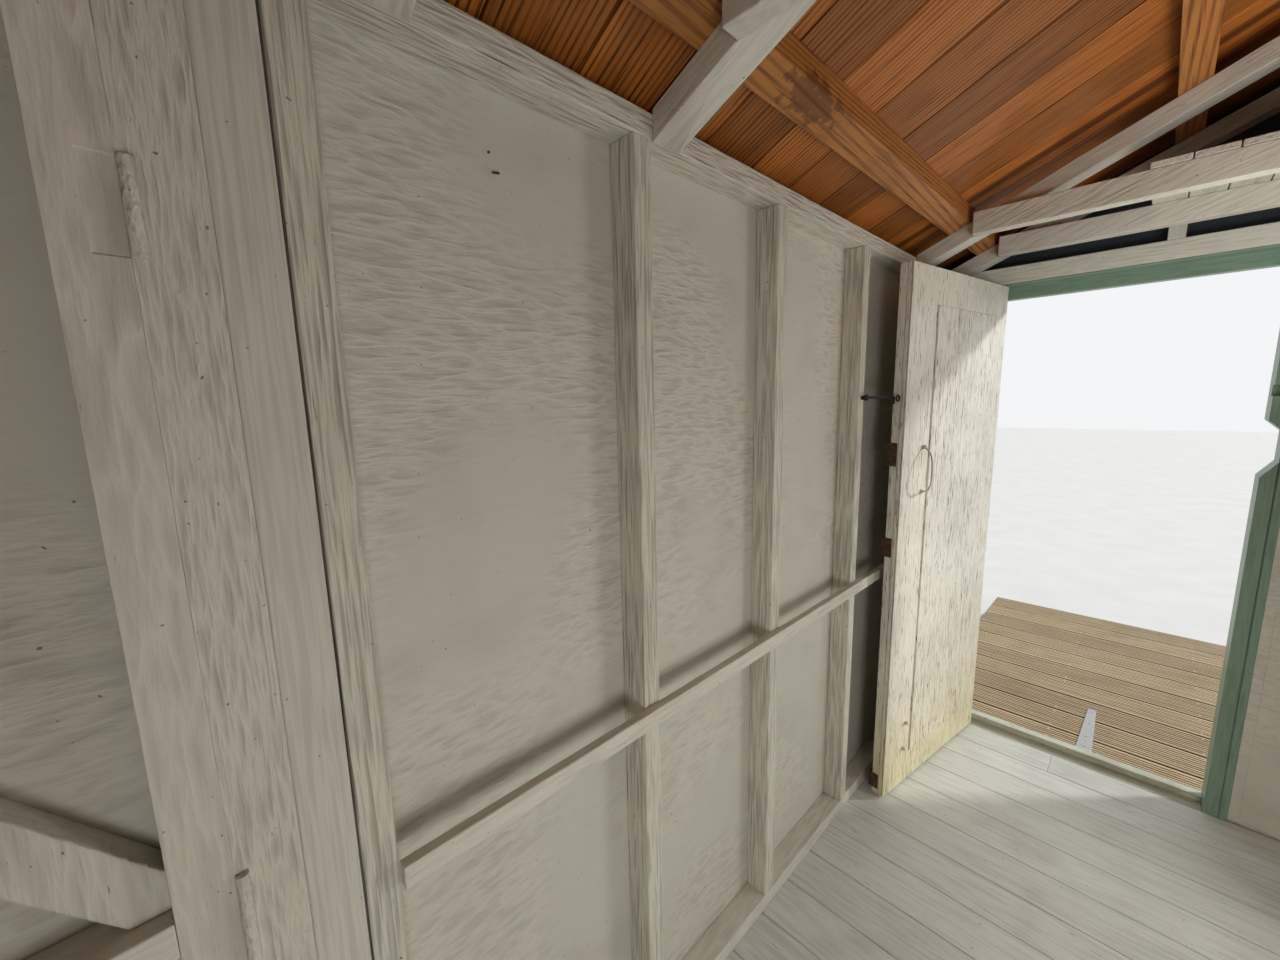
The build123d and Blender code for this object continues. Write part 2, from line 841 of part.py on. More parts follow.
with BuildPart() as rope_pull:
    with BuildLine():
        FilletPolyline(*rope_route, radius=rope_bends)
    with BuildSketch(rope_ends[0]):
        Circle(rope_radius)
    sweep()

with BuildPart() as rope_knots:
    knot_centres = [rope_end.origin - rope_end.z_dir * knot_rise for rope_end in rope_ends]
    knot_centres += [off_leaf(*knot) for knot in spare_knots]
    with Locations(*[Plane(origin=centre, z_dir=leaf_out) for centre in knot_centres]):
        Sphere(knot_radius)
    # The flats that lie on the leaf
    with BuildSketch(leaf_plane.offset(-leaf_thickness)):
        with Locations((leaf_width / 2, leaf_bottom + leaf_height / 2)):
            Rectangle(leaf_width, leaf_height)
    extrude(amount=knot_radius, mode=Mode.SUBTRACT)
    # The flats that the rope's two ends meet
    for rope_end in rope_ends:
        with BuildSketch(rope_end):
            Circle(knot_radius)
        extrude(amount=knot_radius, mode=Mode.SUBTRACT)

# Hook eye on the door's free edge

eye_centre = leaf_plane.from_local_coords(
    (leaf_width + eye_radius, eye_z, -leaf_thickness / 2)
)

with BuildPart() as hook_eye:
    with BuildSketch(Plane(origin=eye_centre, x_dir=leaf_along, z_dir=leaf_out)):
        Circle(eye_radius)
        Circle(eye_radius - eye_wire, mode=Mode.SUBTRACT)
    extrude(amount=eye_wire / 2, both=True)

# Hook, its bracket and its pin

hook_origin = Vector(stud_face_x - hook_standoff, inner_front + stud_offsets[1], floor_top + hook_rise)
hook_target = Vector(*eye_centre) - leaf_out * hook_side_room
hook_run = Vector(hook_target.X - hook_origin.X, hook_target.Y - hook_origin.Y, 0)
hook_length = hook_run.length
hook_along = hook_run.normalized()
hook_side = Vector(hook_along.Y, -hook_along.X, 0)
hook_plane = Plane(origin=hook_origin, x_dir=hook_along, z_dir=hook_side)

with BuildPart() as cabin_hook:
    with BuildSketch(hook_plane):
        Circle(hook_ring_radius)
        with Locations((hook_length / 2, 0)):
            Rectangle(hook_length, hook_bar)
        with Locations((hook_length - hook_bar / 2, -eye_radius)):
            Rectangle(hook_bar, 2 * eye_radius)
        Circle(hook_pin_radius + hook_pin_play, mode=Mode.SUBTRACT)
    extrude(amount=hook_bar / 2, both=True)

with BuildPart() as hook_bracket:
    head_offset = hook_bar / 2 + hook_play
    with BuildSketch(hook_plane):
        Circle(hook_pin_radius)
    extrude(amount=head_offset, both=True)
    with BuildSketch(hook_plane.offset(head_offset)):
        Circle(hook_head_radius)
    extrude(amount=hook_head)
    with BuildSketch(hook_plane.offset(-head_offset)):
        Circle(hook_head_radius)
    extrude(amount=-2 * hook_standoff)
    with BuildSketch(Plane.YZ.offset(stud_face_x)):
        with Locations((hook_origin.Y, hook_origin.Z)):
            Rectangle(2 * stud_width, 2 * stud_width)
    extrude(amount=stud_width, mode=Mode.SUBTRACT)

# Deck flap, drawn lying open

deck_top = floor_top - deck_drop
deck_near = front_y - deck_gap
deck_far = deck_near - deck_depth
deck_mid = (deck_near + deck_far) / 2
deck_underside = deck_top - deck_board
joist_bottom = deck_underside - deck_joist_height
deck_joist_pitch = (2 * deck_half_width - deck_joist_width) / (deck_joist_count - 1)

with BuildPart() as deck_boards:
    with BuildSketch(Plane.XY.offset(deck_underside)):
        with Locations((0, deck_mid)):
            Rectangle(2 * deck_half_width, deck_depth)
    extrude(amount=deck_board)

with BuildPart() as deck_joists:
    with BuildSketch(Plane.XY.offset(joist_bottom)):
        with Locations((0, deck_mid)):
            with GridLocations(deck_joist_pitch, 1, deck_joist_count, 1):
                Rectangle(deck_joist_width, deck_depth)
    extrude(amount=deck_joist_height)

with BuildPart() as deck_feet:
    with BuildSketch(Plane.XY):
        with Locations((0, deck_mid)):
            with GridLocations(2 * deck_joist_pitch, deck_depth - deck_foot, 3, 2):
                Rectangle(deck_joist_width, deck_foot)
    extrude(amount=joist_bottom)

knuckle_y = front_y - sill_projection - knuckle_radius - knuckle_play
knuckle_z = deck_top + strap_thickness

with BuildPart() as front_trim_board:
    with BuildSketch(across(front_y)):
        with Locations((0, (boarding_bottom + bearer_height) / 2)):
            Rectangle(2 * trim_board_half_width, boarding_lap)
    extrude(amount=sill_projection)

with BuildPart() as hinge_plates:
    hinge_plate_top = knuckle_z - knuckle_radius
    with BuildSketch(across(front_y - sill_projection)):
        with Locations((0, (boarding_bottom + hinge_plate_top) / 2)):
            with GridLocations(2 * strap_x, 1, 2, 1):
                Rectangle(strap_root, hinge_plate_top - boarding_bottom)
    extrude(amount=strap_thickness)

with BuildPart() as deck_hinges:
    for hinge_side in (-1, 1):
        with BuildSketch(Plane.XY.offset(deck_top)):
            with BuildLine():
                Polyline(
                    (hinge_side * strap_x - strap_root / 2, knuckle_y),
                    (hinge_side * strap_x + strap_root / 2, knuckle_y),
                    (hinge_side * strap_x + strap_tip / 2, knuckle_y - strap_length),
                    (hinge_side * strap_x - strap_tip / 2, knuckle_y - strap_length),
                    close=True,
                )
            make_face()
        extrude(amount=strap_thickness)
        with BuildSketch(Plane.YZ.offset(hinge_side * strap_x - strap_root / 2)):
            with Locations((knuckle_y, knuckle_z)):
                Circle(knuckle_radius)
        extrude(amount=strap_root)

# Files

pieces = {
    "floor_bearers": floor_bearers,
    "floor": floor,
    "door_sill": door_sill,
    "left_wall": left_wall,
    "right_wall": right_wall,
    "back_wall": back_wall,
    "front_gable": front_gable,
    "front_skirt_board": front_skirt_board,
    "front_wall_left": front_wall_left,
    "front_pier": front_pier,
    "window_apron": window_apron,
    "front_wall_right": front_wall_right,
    "left_jamb": left_jamb,
    "right_jamb": right_jamb,
    "door_head": door_head,
    "front_plate": front_plate,
    "gable_studs": gable_studs,
    "window_frame": window_frame,
    "window_panes": window_panes,
    "sole_plates": sole_plates,
    "wall_plates": wall_plates,
    "left_studs": left_studs,
    "right_studs": right_studs,
    "back_studs": back_studs,
    **post_parts,
    "post_hinges": post_hinges,
    "mid_rails": mid_rails,
    "corner_noggin": corner_noggin,
    "corner_brace": corner_brace,
    **truss_parts,
    "purlins": purlins,
    "ridge_board": ridge_board,
    "loft_boards": loft_boards,
    "left_roof_boards": left_roof_boards,
    "right_roof_boards": right_roof_boards,
    "eaves_boards": eaves_boards,
    "barge_boards": barge_boards,
    "roof_felt": roof_felt,
    "corner_boards": corner_boards,
    "door_frame": door_frame,
    "door_panel": door_panel,
    "door_hinges": door_hinges,
    "door_fittings": door_fittings,
    "rope_pull": rope_pull,
    "rope_knots": rope_knots,
    "hook_eye": hook_eye,
    "cabin_hook": cabin_hook,
    "hook_bracket": hook_bracket,
    "deck_boards": deck_boards,
    "deck_joists": deck_joists,
    "deck_feet": deck_feet,
    "deck_hinges": deck_hinges,
    "front_trim_board": front_trim_board,
    "hinge_plates": hinge_plates,
}
for piece_name, piece in pieces.items():
    piece.part.label = piece_name
    export_step(piece.part, f"parts/{piece_name}.step")
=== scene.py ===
"""Beach hut: boards, cladding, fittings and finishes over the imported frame."""

import json
import logging
import math
from dataclasses import dataclass
from enum import Enum
from functools import cache

import bmesh
import bpy
from mathutils import Matrix, Vector


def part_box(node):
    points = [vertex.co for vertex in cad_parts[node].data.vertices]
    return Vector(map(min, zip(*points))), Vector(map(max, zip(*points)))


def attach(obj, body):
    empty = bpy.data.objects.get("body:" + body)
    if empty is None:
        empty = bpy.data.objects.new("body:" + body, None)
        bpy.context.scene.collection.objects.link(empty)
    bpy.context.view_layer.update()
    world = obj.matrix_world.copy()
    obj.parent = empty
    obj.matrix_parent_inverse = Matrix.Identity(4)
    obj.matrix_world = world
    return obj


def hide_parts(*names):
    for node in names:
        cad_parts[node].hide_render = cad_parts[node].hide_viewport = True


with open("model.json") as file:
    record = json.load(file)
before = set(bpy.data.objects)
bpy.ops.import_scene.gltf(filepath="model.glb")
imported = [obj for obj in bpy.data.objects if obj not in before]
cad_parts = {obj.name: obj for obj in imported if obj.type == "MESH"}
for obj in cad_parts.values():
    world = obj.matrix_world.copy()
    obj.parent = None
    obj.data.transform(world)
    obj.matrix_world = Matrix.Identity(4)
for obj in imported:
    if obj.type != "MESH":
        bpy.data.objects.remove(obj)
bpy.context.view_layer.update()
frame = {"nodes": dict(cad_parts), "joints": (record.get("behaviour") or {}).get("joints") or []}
LOG = logging.getLogger("beach_hut")

PITCH = math.radians(23.3)
Colour = tuple[float, float, float, float]
Point = tuple[float, float, float]
Material = bpy.types.Material
Node = bpy.types.Node
NodeTree = bpy.types.NodeTree
Object = bpy.types.Object
Socket = bpy.types.NodeSocket


def linear(code: str) -> Colour:
    """The scene-linear colour of a six-figure sRGB code."""
    parts = [int(code[i : i + 2], 16) / 255 for i in (0, 2, 4)]
    light = [c / 12.92 if c <= 0.04045 else ((c + 0.055) / 1.055) ** 2.4 for c in parts]
    return (light[0], light[1], light[2], 1.0)


def add_object(name: str, data: bpy.types.ID) -> Object:
    """A new object in the scene."""
    made = bpy.data.objects.new(name, data)
    bpy.context.scene.collection.objects.link(made)
    return made


class Run(Enum):
    """The way that a piece's grain and brush strokes run."""

    ACROSS = "across"
    ALONG = "along"
    UP = "up"
    SLOPE = "slope"


@dataclass
class Graph:
    """A node tree being wired.

    Args:
        tree: the node tree of a material or of a node group.
    """

    tree: NodeTree

    def add(self, kind: str, **settings: object) -> Node:
        """Adds a node and sets its plain properties."""
        node = self.tree.nodes.new(kind)
        for name, value in settings.items():
            setattr(node, name, value)
        return node

    def feed(self, node: Node, name: str | int, source: object) -> None:
        """Links a socket, or writes a plain value, into one of a node's inputs."""
        if isinstance(source, Socket):
            self.tree.links.new(source, node.inputs[name])
        else:
            node.inputs[name].default_value = source

    def give(self, node: Node, **sources: object) -> None:
        """Feeds several of a node's inputs by name."""
        for name, source in sources.items():
            self.feed(node, name, source)

    def step(self, kind: str, *sources: object, **settings: object) -> Socket:
        """Adds a node, feeds its inputs in their order and gives its first output."""
        node = self.add(kind, **settings)
        for index, source in enumerate(sources):
            self.feed(node, index, source)
        return node.outputs[0]

    def noise(self, vector: Socket, scale: object, detail: float, rough: float = 0.5) -> Socket:
        """A noise from 0 to 1, with its scale per metre, its octaves and how strong the fine ones are."""
        node = self.add("ShaderNodeTexNoise")
        self.give(node, Vector=vector, Scale=scale, Detail=detail, Roughness=rough)
        return node.outputs["Fac"]

    def cells(self, vector: Socket, scale: object) -> Socket:
        """How far each place is from the middle of its cell, with that many cells per metre."""
        node = self.add("ShaderNodeTexVoronoi", feature="F1")
        self.give(node, Vector=vector, Scale=scale)
        return node.outputs["Distance"]

    def math(self, operation: str, a: object, b: object = 0.0, clamp: bool = False) -> Socket:
        """One arithmetic step on two values."""
        return self.step("ShaderNodeMath", a, b, operation=operation, use_clamp=clamp)

    def plus(self, a: object, b: object) -> Socket:
        """The sum of two values."""
        return self.math("ADD", a, b)

    def minus(self, a: object, b: object) -> Socket:
        """The first value less the second."""
        return self.math("SUBTRACT", a, b)

    def times(self, a: object, b: object, clamp: bool = False) -> Socket:
        """The product of two values."""
        return self.math("MULTIPLY", a, b, clamp)

    def fade(
        self, value: Socket, low: object, high: object, start: object = 0.0, end: object = 1.0
    ) -> Socket:
        """A smooth step from start to end as the value goes from low to high."""
        return self.step("ShaderNodeMapRange", value, low, high, start, end, interpolation_type="SMOOTHSTEP")

    def mix(self, factor: object, a: object, b: object, blend: str = "MIX") -> Socket:
        """Two colours mixed by a factor."""
        node = self.add("ShaderNodeMix", data_type="RGBA", blend_type=blend)
        for index, source in ((0, factor), (6, a), (7, b)):
            self.feed(node, index, source)
        return node.outputs[2]

    def tint(self, colour: object, code: str, factor: object) -> Socket:
        """A colour with another one, given by its code, mixed in by a factor."""
        return self.mix(factor, colour, linear(code))

    def darken(self, colour: Socket, value: Socket) -> Socket:
        """A colour times a grey of that value."""
        return self.mix(1.0, colour, self.step("ShaderNodeCombineColor", value, value, value), "MULTIPLY")

    def axis(self, vector: Socket, index: int) -> Socket:
        """One coordinate of a place."""
        node = self.add("ShaderNodeSeparateXYZ")
        self.feed(node, 0, vector)
        return node.outputs[index]

    def group(self, tree: NodeTree, **inputs: object) -> bpy.types.NodeOutputs:
        """Places a node group, feeds its inputs by name and gives its outputs."""
        node = self.add("ShaderNodeGroup", node_tree=tree)
        self.give(node, **inputs)
        return node.outputs

    def stretch(self, vector: Socket, run: Run, length: float) -> Socket:
        """Turns the pattern to run along a piece, and draws it out.

        Args:
            vector: the place on the piece.
            run: the way that the piece runs.
            length: how many times longer the marks are than wide.

        Returns:
            The place to read a pattern at.
        """
        still = (0.0, 0.0, 0.0)
        turn = still
        scale = {Run.ALONG: (1, length, 1), Run.UP: (1, 1, length)}.get(run, (length, 1, 1))
        if run is Run.SLOPE:
            x, y, z = (self.axis(vector, index) for index in range(3))
            vector = self.step("ShaderNodeCombineXYZ", self.math("ABSOLUTE", x), y, z)
            turn = (0.0, PITCH, 0.0)
        return self.step("ShaderNodeMapping", vector, still, turn, scale, vector_type="TEXTURE")


def new_group(name: str, inputs: str, outputs: str) -> tuple[Graph, bpy.types.NodeOutputs, Node]:
    """Starts a shader node group.

    Args:
        name: the group's name.
        inputs: the names of its inputs, of which Vector and Place are vectors and the rest are values.
        outputs: the names of its outputs, read in the same way.

    Returns:
        The graph, what its input node gives, and its output node.
    """
    tree = bpy.data.node_groups.new(name, "ShaderNodeTree")
    for side, sockets in (("INPUT", inputs), ("OUTPUT", outputs)):
        for socket in sockets.split():
            kind = "NodeSocketVector" if socket in ("Vector", "Place") else "NodeSocketFloat"
            tree.interface.new_socket(socket, in_out=side, socket_type=kind)
    graph = Graph(tree)
    return graph, graph.add("NodeGroupInput").outputs, graph.add("NodeGroupOutput")


CRACK_FINENESS = 2.3
CRACK_DEPTH = 0.45
FLAKE_DEPTH = 0.35
FLAKE_START = 0.79
FLAKE_REACH = 0.27
FLAKE_EDGE = 0.09
TONE_PATCHES = 2.6
CALM_TONE = 0.40
ROUGH_TONE = 0.64


@cache
def brush_marks_group() -> NodeTree:
    """Brush wrinkles, cracks and flaked spots of thick old paint."""
    inputs = "Vector Place Size Flaking Ridges Calm"
    graph, given, made = new_group("brush_marks", inputs, "Height Flakes Tone")
    drawn, size = given["Vector"], given["Size"]
    stroke = graph.noise(drawn, size, 1.0)
    ridge = graph.times(graph.math("ABSOLUTE", graph.minus(stroke, 0.5)), given["Ridges"])
    crack = graph.noise(drawn, graph.times(size, CRACK_FINENESS), 2.0, 0.75)
    edge = graph.minus(FLAKE_START, graph.times(given["Flaking"], FLAKE_REACH))
    flakes = graph.fade(crack, edge, graph.plus(edge, FLAKE_EDGE))
    height = graph.minus(graph.times(crack, CRACK_DEPTH), ridge)
    height = graph.minus(height, graph.times(flakes, FLAKE_DEPTH))
    tone = graph.noise(given["Place"], TONE_PATCHES, 0.0, 0.6)
    worn = graph.fade(tone, CALM_TONE, ROUGH_TONE, given["Calm"], 1.0)
    graph.give(made, Height=graph.times(height, worn), Flakes=flakes, Tone=tone)
    return graph.tree


TURN = 6.283
FIBRE_FINENESS = 26.0
KNOT_SPREAD = 0.45
KNOT_EDGE = 0.13
KNOT_HEART = 0.05
RING_START = -0.1
RING_FULL = 0.95
RING_DEPTH = -0.5


@cache
def timber_grain_group() -> NodeTree:
    """Year rings, fibres and knots of sawn softwood."""
    graph, given, made = new_group("timber_grain", "Vector Size Lines Waves", "Rings Fibre Knots Height")
    vector, size = given["Vector"], given["Size"]
    sideways = graph.add("ShaderNodeVectorMath", operation="DOT_PRODUCT")
    graph.feed(sideways, 0, vector)
    graph.feed(sideways, 1, (1.0, 1.0, 1.0))
    straight = graph.times(sideways.outputs["Value"], given["Lines"])
    bent = graph.times(graph.noise(vector, size, 1.0), given["Waves"])
    wave = graph.math("SINE", graph.times(graph.plus(straight, bent), TURN))
    rings = graph.fade(wave, RING_START, RING_FULL)
    fibre = graph.noise(vector, graph.times(size, FIBRE_FINENESS), 2.0, 0.6)
    knots = graph.fade(graph.cells(vector, graph.times(size, KNOT_SPREAD)), KNOT_EDGE, KNOT_HEART)
    height = graph.plus(graph.times(rings, RING_DEPTH), fibre)
    graph.give(made, Rings=rings, Fibre=fibre, Knots=knots, Height=height)
    return graph.tree


BLOTCHES_PER_METRE = 6.0
BLOTCH_START = 0.48
BLOTCH_FULL = 0.75
SPECKS_PER_METRE = 120.0
SPECK_START = 0.80
SPECK_REACH = 0.12
SPECK_EDGE = 0.04


@cache
def settled_dirt_group() -> NodeTree:
    """Blotches and fine specks of dirt."""
    graph, given, made = new_group("settled_dirt", "Place Amount", "Blotch Specks")
    place, amount = given["Place"], given["Amount"]
    blotch = graph.fade(graph.noise(place, BLOTCHES_PER_METRE, 1.0, 0.62), BLOTCH_START, BLOTCH_FULL)
    edge = graph.minus(SPECK_START, graph.times(amount, SPECK_REACH))
    specks = graph.noise(place, SPECKS_PER_METRE, 1.0, 0.6)
    specks = graph.fade(specks, edge, graph.plus(edge, SPECK_EDGE))
    graph.give(made, Blotch=graph.times(blotch, amount), Specks=specks)
    return graph.tree


BOARD_STEP = (7.3, 11.9, 5.1)


@cache
def board_shift_group() -> NodeTree:
    """Moves the pattern from board to board, so that no two look alike."""
    graph, given, made = new_group("board_shift", "Place Board", "Place")
    steps = [graph.times(given["Board"], factor) for factor in BOARD_STEP]
    shift = graph.step("ShaderNodeCombineXYZ", *steps)
    moved = graph.step("ShaderNodeVectorMath", given["Place"], shift, operation="ADD")
    graph.give(made, Place=moved)
    return graph.tree


@dataclass(frozen=True)
class Surface:
    """What every finish starts from: here is the place on the piece, and place moves on by board."""

    material: Material
    graph: Graph
    shader: Node
    here: Socket
    place: Socket
    board: Socket


def start_surface(name: str) -> Surface:
    """Starts a material with its shader, its Object coordinates and the board attribute."""
    material = bpy.data.materials.new(name)
    material.use_nodes = True
    graph = Graph(material.node_tree)
    shader = material.node_tree.nodes["Principled BSDF"]
    here = graph.add("ShaderNodeTexCoord").outputs["Object"]
    board = graph.add("ShaderNodeAttribute", attribute_name="board").outputs["Fac"]
    shifted = graph.group(board_shift_group(), Place=here, Board=board)
    return Surface(material, graph, shader, here, shifted["Place"], board)


def set_relief(surface: Surface, height: Socket, depth: float, strength: float = 1.0) -> None:
    """Feeds a height through a Bump node into the shader, unless the surface is smooth."""
    if not depth:
        return
    bump = surface.graph.add("ShaderNodeBump")
    surface.graph.give(bump, Height=height, Strength=strength, Distance=depth)
    surface.graph.feed(surface.shader, "Normal", bump.outputs["Normal"])


@dataclass(frozen=True)
class Foot:
    """Another colour that comes in below a height.

    Args:
        colour: the colour at the bottom.
        low: the height at which it is full, in metres.
        high: the height at which it is gone, in metres.
        strength: how much of it shows, from 0 to 1.
    """

    colour: str
    low: float
    high: float
    strength: float


BLOTCH_COLOUR = "7d7362"
BLOTCH_COVER = 0.35
SPECK_COLOUR = "4a3a28"
SPECK_COVER = 0.7
FLAKE_COVER = 0.85
FLAKE_ROUGHNESS = 0.85
FOOT_WANDER = 0.02
DARKEST_PAINT = 0.90


@dataclass(frozen=True)
class Paint:
    """Brushed paint on timber or sheet, wrinkled and flaking.

    Args:
        name: the material's name.
        colour: the paint.
        under: what shows where it has flaked.
        run: the way that the brush went.
        size: brush ridges per metre.
        draw: how long the ridges are for their width.
        relief: how deep they are in metres, or 0 for none.
        flaking: how much of it has flaked, from 0 to 1.
        dirt: how dirty it is, from 0 to 1.
        roughness: its gloss.
        tone: how much the under colour shows through in soft patches, from 0 to 1.
        foot: another colour near the ground, if it has one.
        ridges: how strongly the brush ridges stand out.
        calm: how much relief the calmest patches keep, from 0 to 1.
        hollow_shade: how much painted shade darkens the paint in its hollows, from 0 to 1.
    """

    name: str
    colour: str
    under: str
    run: Run
    size: float
    draw: float
    relief: float
    flaking: float
    dirt: float
    roughness: float
    tone: float = 0.16
    foot: Foot | None = None
    ridges: float = 1.7
    calm: float = 0.6
    hollow_shade: float = 0.16

    def build(self) -> Material:
        """The paint's material."""
        surface = start_surface(self.name)
        graph, shader = surface.graph, surface.shader
        drawn = graph.stretch(surface.place, self.run, self.draw)
        marks = graph.group(
            brush_marks_group(), Vector=drawn, Place=surface.place, Size=self.size, Flaking=self.flaking,
            Ridges=self.ridges, Calm=self.calm,
        )
        dirt = graph.group(settled_dirt_group(), Place=surface.place, Amount=self.dirt)
        patches = graph.fade(marks["Tone"], 0.3, 0.75, 0.0, self.tone)
        colour = graph.tint(linear(self.colour), self.under, patches)
        if self.foot is not None:
            level = graph.plus(graph.axis(surface.here, 2), graph.times(marks["Tone"], FOOT_WANDER))
            low = graph.fade(level, self.foot.low, self.foot.high, self.foot.strength, 0.0)
            colour = graph.tint(colour, self.foot.colour, low)
        colour = graph.darken(colour, graph.fade(surface.board, 0.0, 1.0, 1.0, DARKEST_PAINT))
        colour = graph.tint(colour, BLOTCH_COLOUR, graph.times(dirt["Blotch"], BLOTCH_COVER))
        colour = graph.tint(colour, SPECK_COLOUR, graph.times(dirt["Specks"], SPECK_COVER))
        colour = graph.tint(colour, self.under, graph.times(marks["Flakes"], FLAKE_COVER))
        # Painted shade: the hollows of the brush marks are darkened, as if in shadow.
        colour = graph.darken(colour, graph.fade(marks["Height"], -0.10, 0.22, 1.0 - self.hollow_shade, 1.0))
        graph.feed(shader, "Base Color", colour)
        gloss = graph.fade(marks["Flakes"], 0.0, 1.0, self.roughness, FLAKE_ROUGHNESS)
        graph.feed(shader, "Roughness", gloss)
        set_relief(surface, marks["Height"], self.relief)
        return surface.material


TATTERS_PER_METRE = 38.0
TATTER_REACH = 3.2
TORN_START = 2.80
TORN_FULL = 2.30
TORN_COVER = 0.6
TORN_COLOUR = "4a2210"


@dataclass(frozen=True)
class Scar:
    """A dark torn patch where a branch or bark was.

    Args:
        place: its middle, in metres.
        reach: how far it reaches each way, in metres.
    """

    place: Point
    reach: Point

    def cover(self, surface: Surface) -> Socket:
        """How much of the scar shows at each place."""
        graph = surface.graph
        still = (0.0, 0.0, 0.0)
        away = graph.step(
            "ShaderNodeMapping", surface.here, self.place, still, self.reach, vector_type="TEXTURE"
        )
        length = graph.add("ShaderNodeVectorMath", operation="LENGTH")
        graph.feed(length, 0, away)
        ragged = graph.times(graph.noise(surface.here, TATTERS_PER_METRE, 2.0, 0.7), TATTER_REACH)
        edge = graph.plus(length.outputs["Value"], ragged)
        return graph.fade(edge, TORN_START, TORN_FULL, 0.0, TORN_COVER)


STREAK_COVER = 0.9
FIBRE_COVER = 0.75
KNOT_COLOUR = "2a1409"
WOOD_DIRT = 0.6
WOOD_BLOTCH_COVER = 0.5
SPLASH_COLOUR = "d8cfc0"
SPLASHES_PER_METRE = 26.0
SPLASH_START = 0.86
SPLASH_REACH = 0.14
SPLASH_EDGE = 0.02


@dataclass(frozen=True)
class Timber:
    """Stained or bare softwood with its grain showing.

    Args:
        name: the material's name.
        light: the early wood.
        dark: the year rings and fibres.
        run: the way of the grain.
        size: bands of grain per metre.
        lines: grain lines per metre of width.
        waves: how far the bands push the lines about.
        draw: how long the grain is for its width.
        knots: how dark the knots are, from 0 to 1.
        relief: the depth of the grain in metres, or 0 for none.
        roughness: its gloss.
        spread: how much the boards differ, from 0 to 1.
        splash: how much pale paint has run on it, from 0 to 1.
        scar: a torn patch on it, if it has one.
    """

    name: str
    light: str
    dark: str
    run: Run
    size: float
    lines: float
    waves: float
    draw: float
    knots: float
    relief: float
    roughness: float
    spread: float = 0.4
    splash: float = 0.0
    scar: Scar | None = None

    def build(self) -> Material:
        """The timber's material."""
        surface = start_surface(self.name)
        graph, shader = surface.graph, surface.shader
        drawn = graph.stretch(surface.place, self.run, self.draw)
        grain = graph.group(
            timber_grain_group(), Vector=drawn, Size=self.size, Lines=self.lines, Waves=self.waves
        )
        dirt = graph.group(settled_dirt_group(), Place=surface.place, Amount=WOOD_DIRT)
        line = graph.fade(grain["Fibre"], 0.2, 0.8, 0.25, 1.0)
        streak = graph.times(graph.times(grain["Rings"], line), STREAK_COVER, True)
        colour = graph.tint(linear(self.light), self.dark, streak)
        colour = graph.tint(colour, self.dark, graph.fade(grain["Fibre"], 0.56, 0.70, 0.0, FIBRE_COVER))
        colour = graph.tint(colour, KNOT_COLOUR, graph.times(grain["Knots"], self.knots))
        pale, deep = 1.0 + self.spread * 0.2, 1.0 - self.spread * 0.6
        colour = graph.darken(colour, graph.fade(surface.board, 0.0, 1.0, pale, deep))
        colour = graph.tint(colour, self.dark, graph.times(dirt["Blotch"], WOOD_BLOTCH_COVER))
        if self.scar is not None:
            colour = graph.tint(colour, TORN_COLOUR, self.scar.cover(surface))
        if self.splash:
            spots = graph.noise(surface.place, SPLASHES_PER_METRE, 3.0, 0.6)
            edge = SPLASH_START - SPLASH_REACH * self.splash
            runs = graph.fade(spots, edge, edge + SPLASH_EDGE, 0.0, min(1.0, self.splash * 2))
            colour = graph.tint(colour, SPLASH_COLOUR, runs)
        graph.feed(shader, "Base Color", colour)
        gloss = graph.fade(grain["Fibre"], 0.2, 0.8, self.roughness - 0.08, self.roughness + 0.12)
        graph.feed(shader, "Roughness", gloss)
        set_relief(surface, grain["Height"], self.relief)
        return surface.material


CRYSTALS_PER_METRE = 110.0
CRYSTAL_COLOUR = "e6e8ea"
RUST_START = 0.75
RUST_REACH = 0.45
RUST_EDGE = 0.12
RUST_ROUGHNESS = 0.9
SCALE_PER_METRE = 60.0
SCALE_DEPTH = 0.0006


@dataclass(frozen=True)
class Metal:
    """Iron or steel, plain, rusted or galvanised.

    Args:
        name: the material's name.
        colour: the clean surface.
        rust: what has come over it.
        cover: how much of it is covered, from 0 to 1.
        metallic: how much of a metal the clean surface is.
        roughness: its gloss.
        spangle: how pale its crystals are, from 0 to 1.
    """

    name: str
    colour: str
    rust: str
    cover: float
    metallic: float
    roughness: float
    spangle: float = 0.03

    def build(self) -> Material:
        """The metal's material."""
        surface = start_surface(self.name)
        graph, shader = surface.graph, surface.shader
        broad = graph.noise(surface.place, SCALE_PER_METRE, 4.0, 0.7)
        edge = RUST_START - RUST_REACH * self.cover
        rust = graph.fade(broad, edge, edge + RUST_EDGE)
        crystals = graph.times(graph.cells(surface.place, CRYSTALS_PER_METRE), self.spangle)
        clean = graph.tint(linear(self.colour), CRYSTAL_COLOUR, crystals)
        graph.feed(shader, "Base Color", graph.tint(clean, self.rust, rust))
        graph.feed(shader, "Metallic", graph.fade(rust, 0.0, 1.0, self.metallic, 0.0))
        graph.feed(shader, "Roughness", graph.fade(rust, 0.0, 1.0, self.roughness, RUST_ROUGHNESS))
        set_relief(surface, broad, SCALE_DEPTH, 0.6)
        return surface.material


GRANULES_PER_METRE = 420.0
WASHES_PER_METRE = 3.0
LAP_EDGE = 0.003
FELT_DEPTH = 0.0012


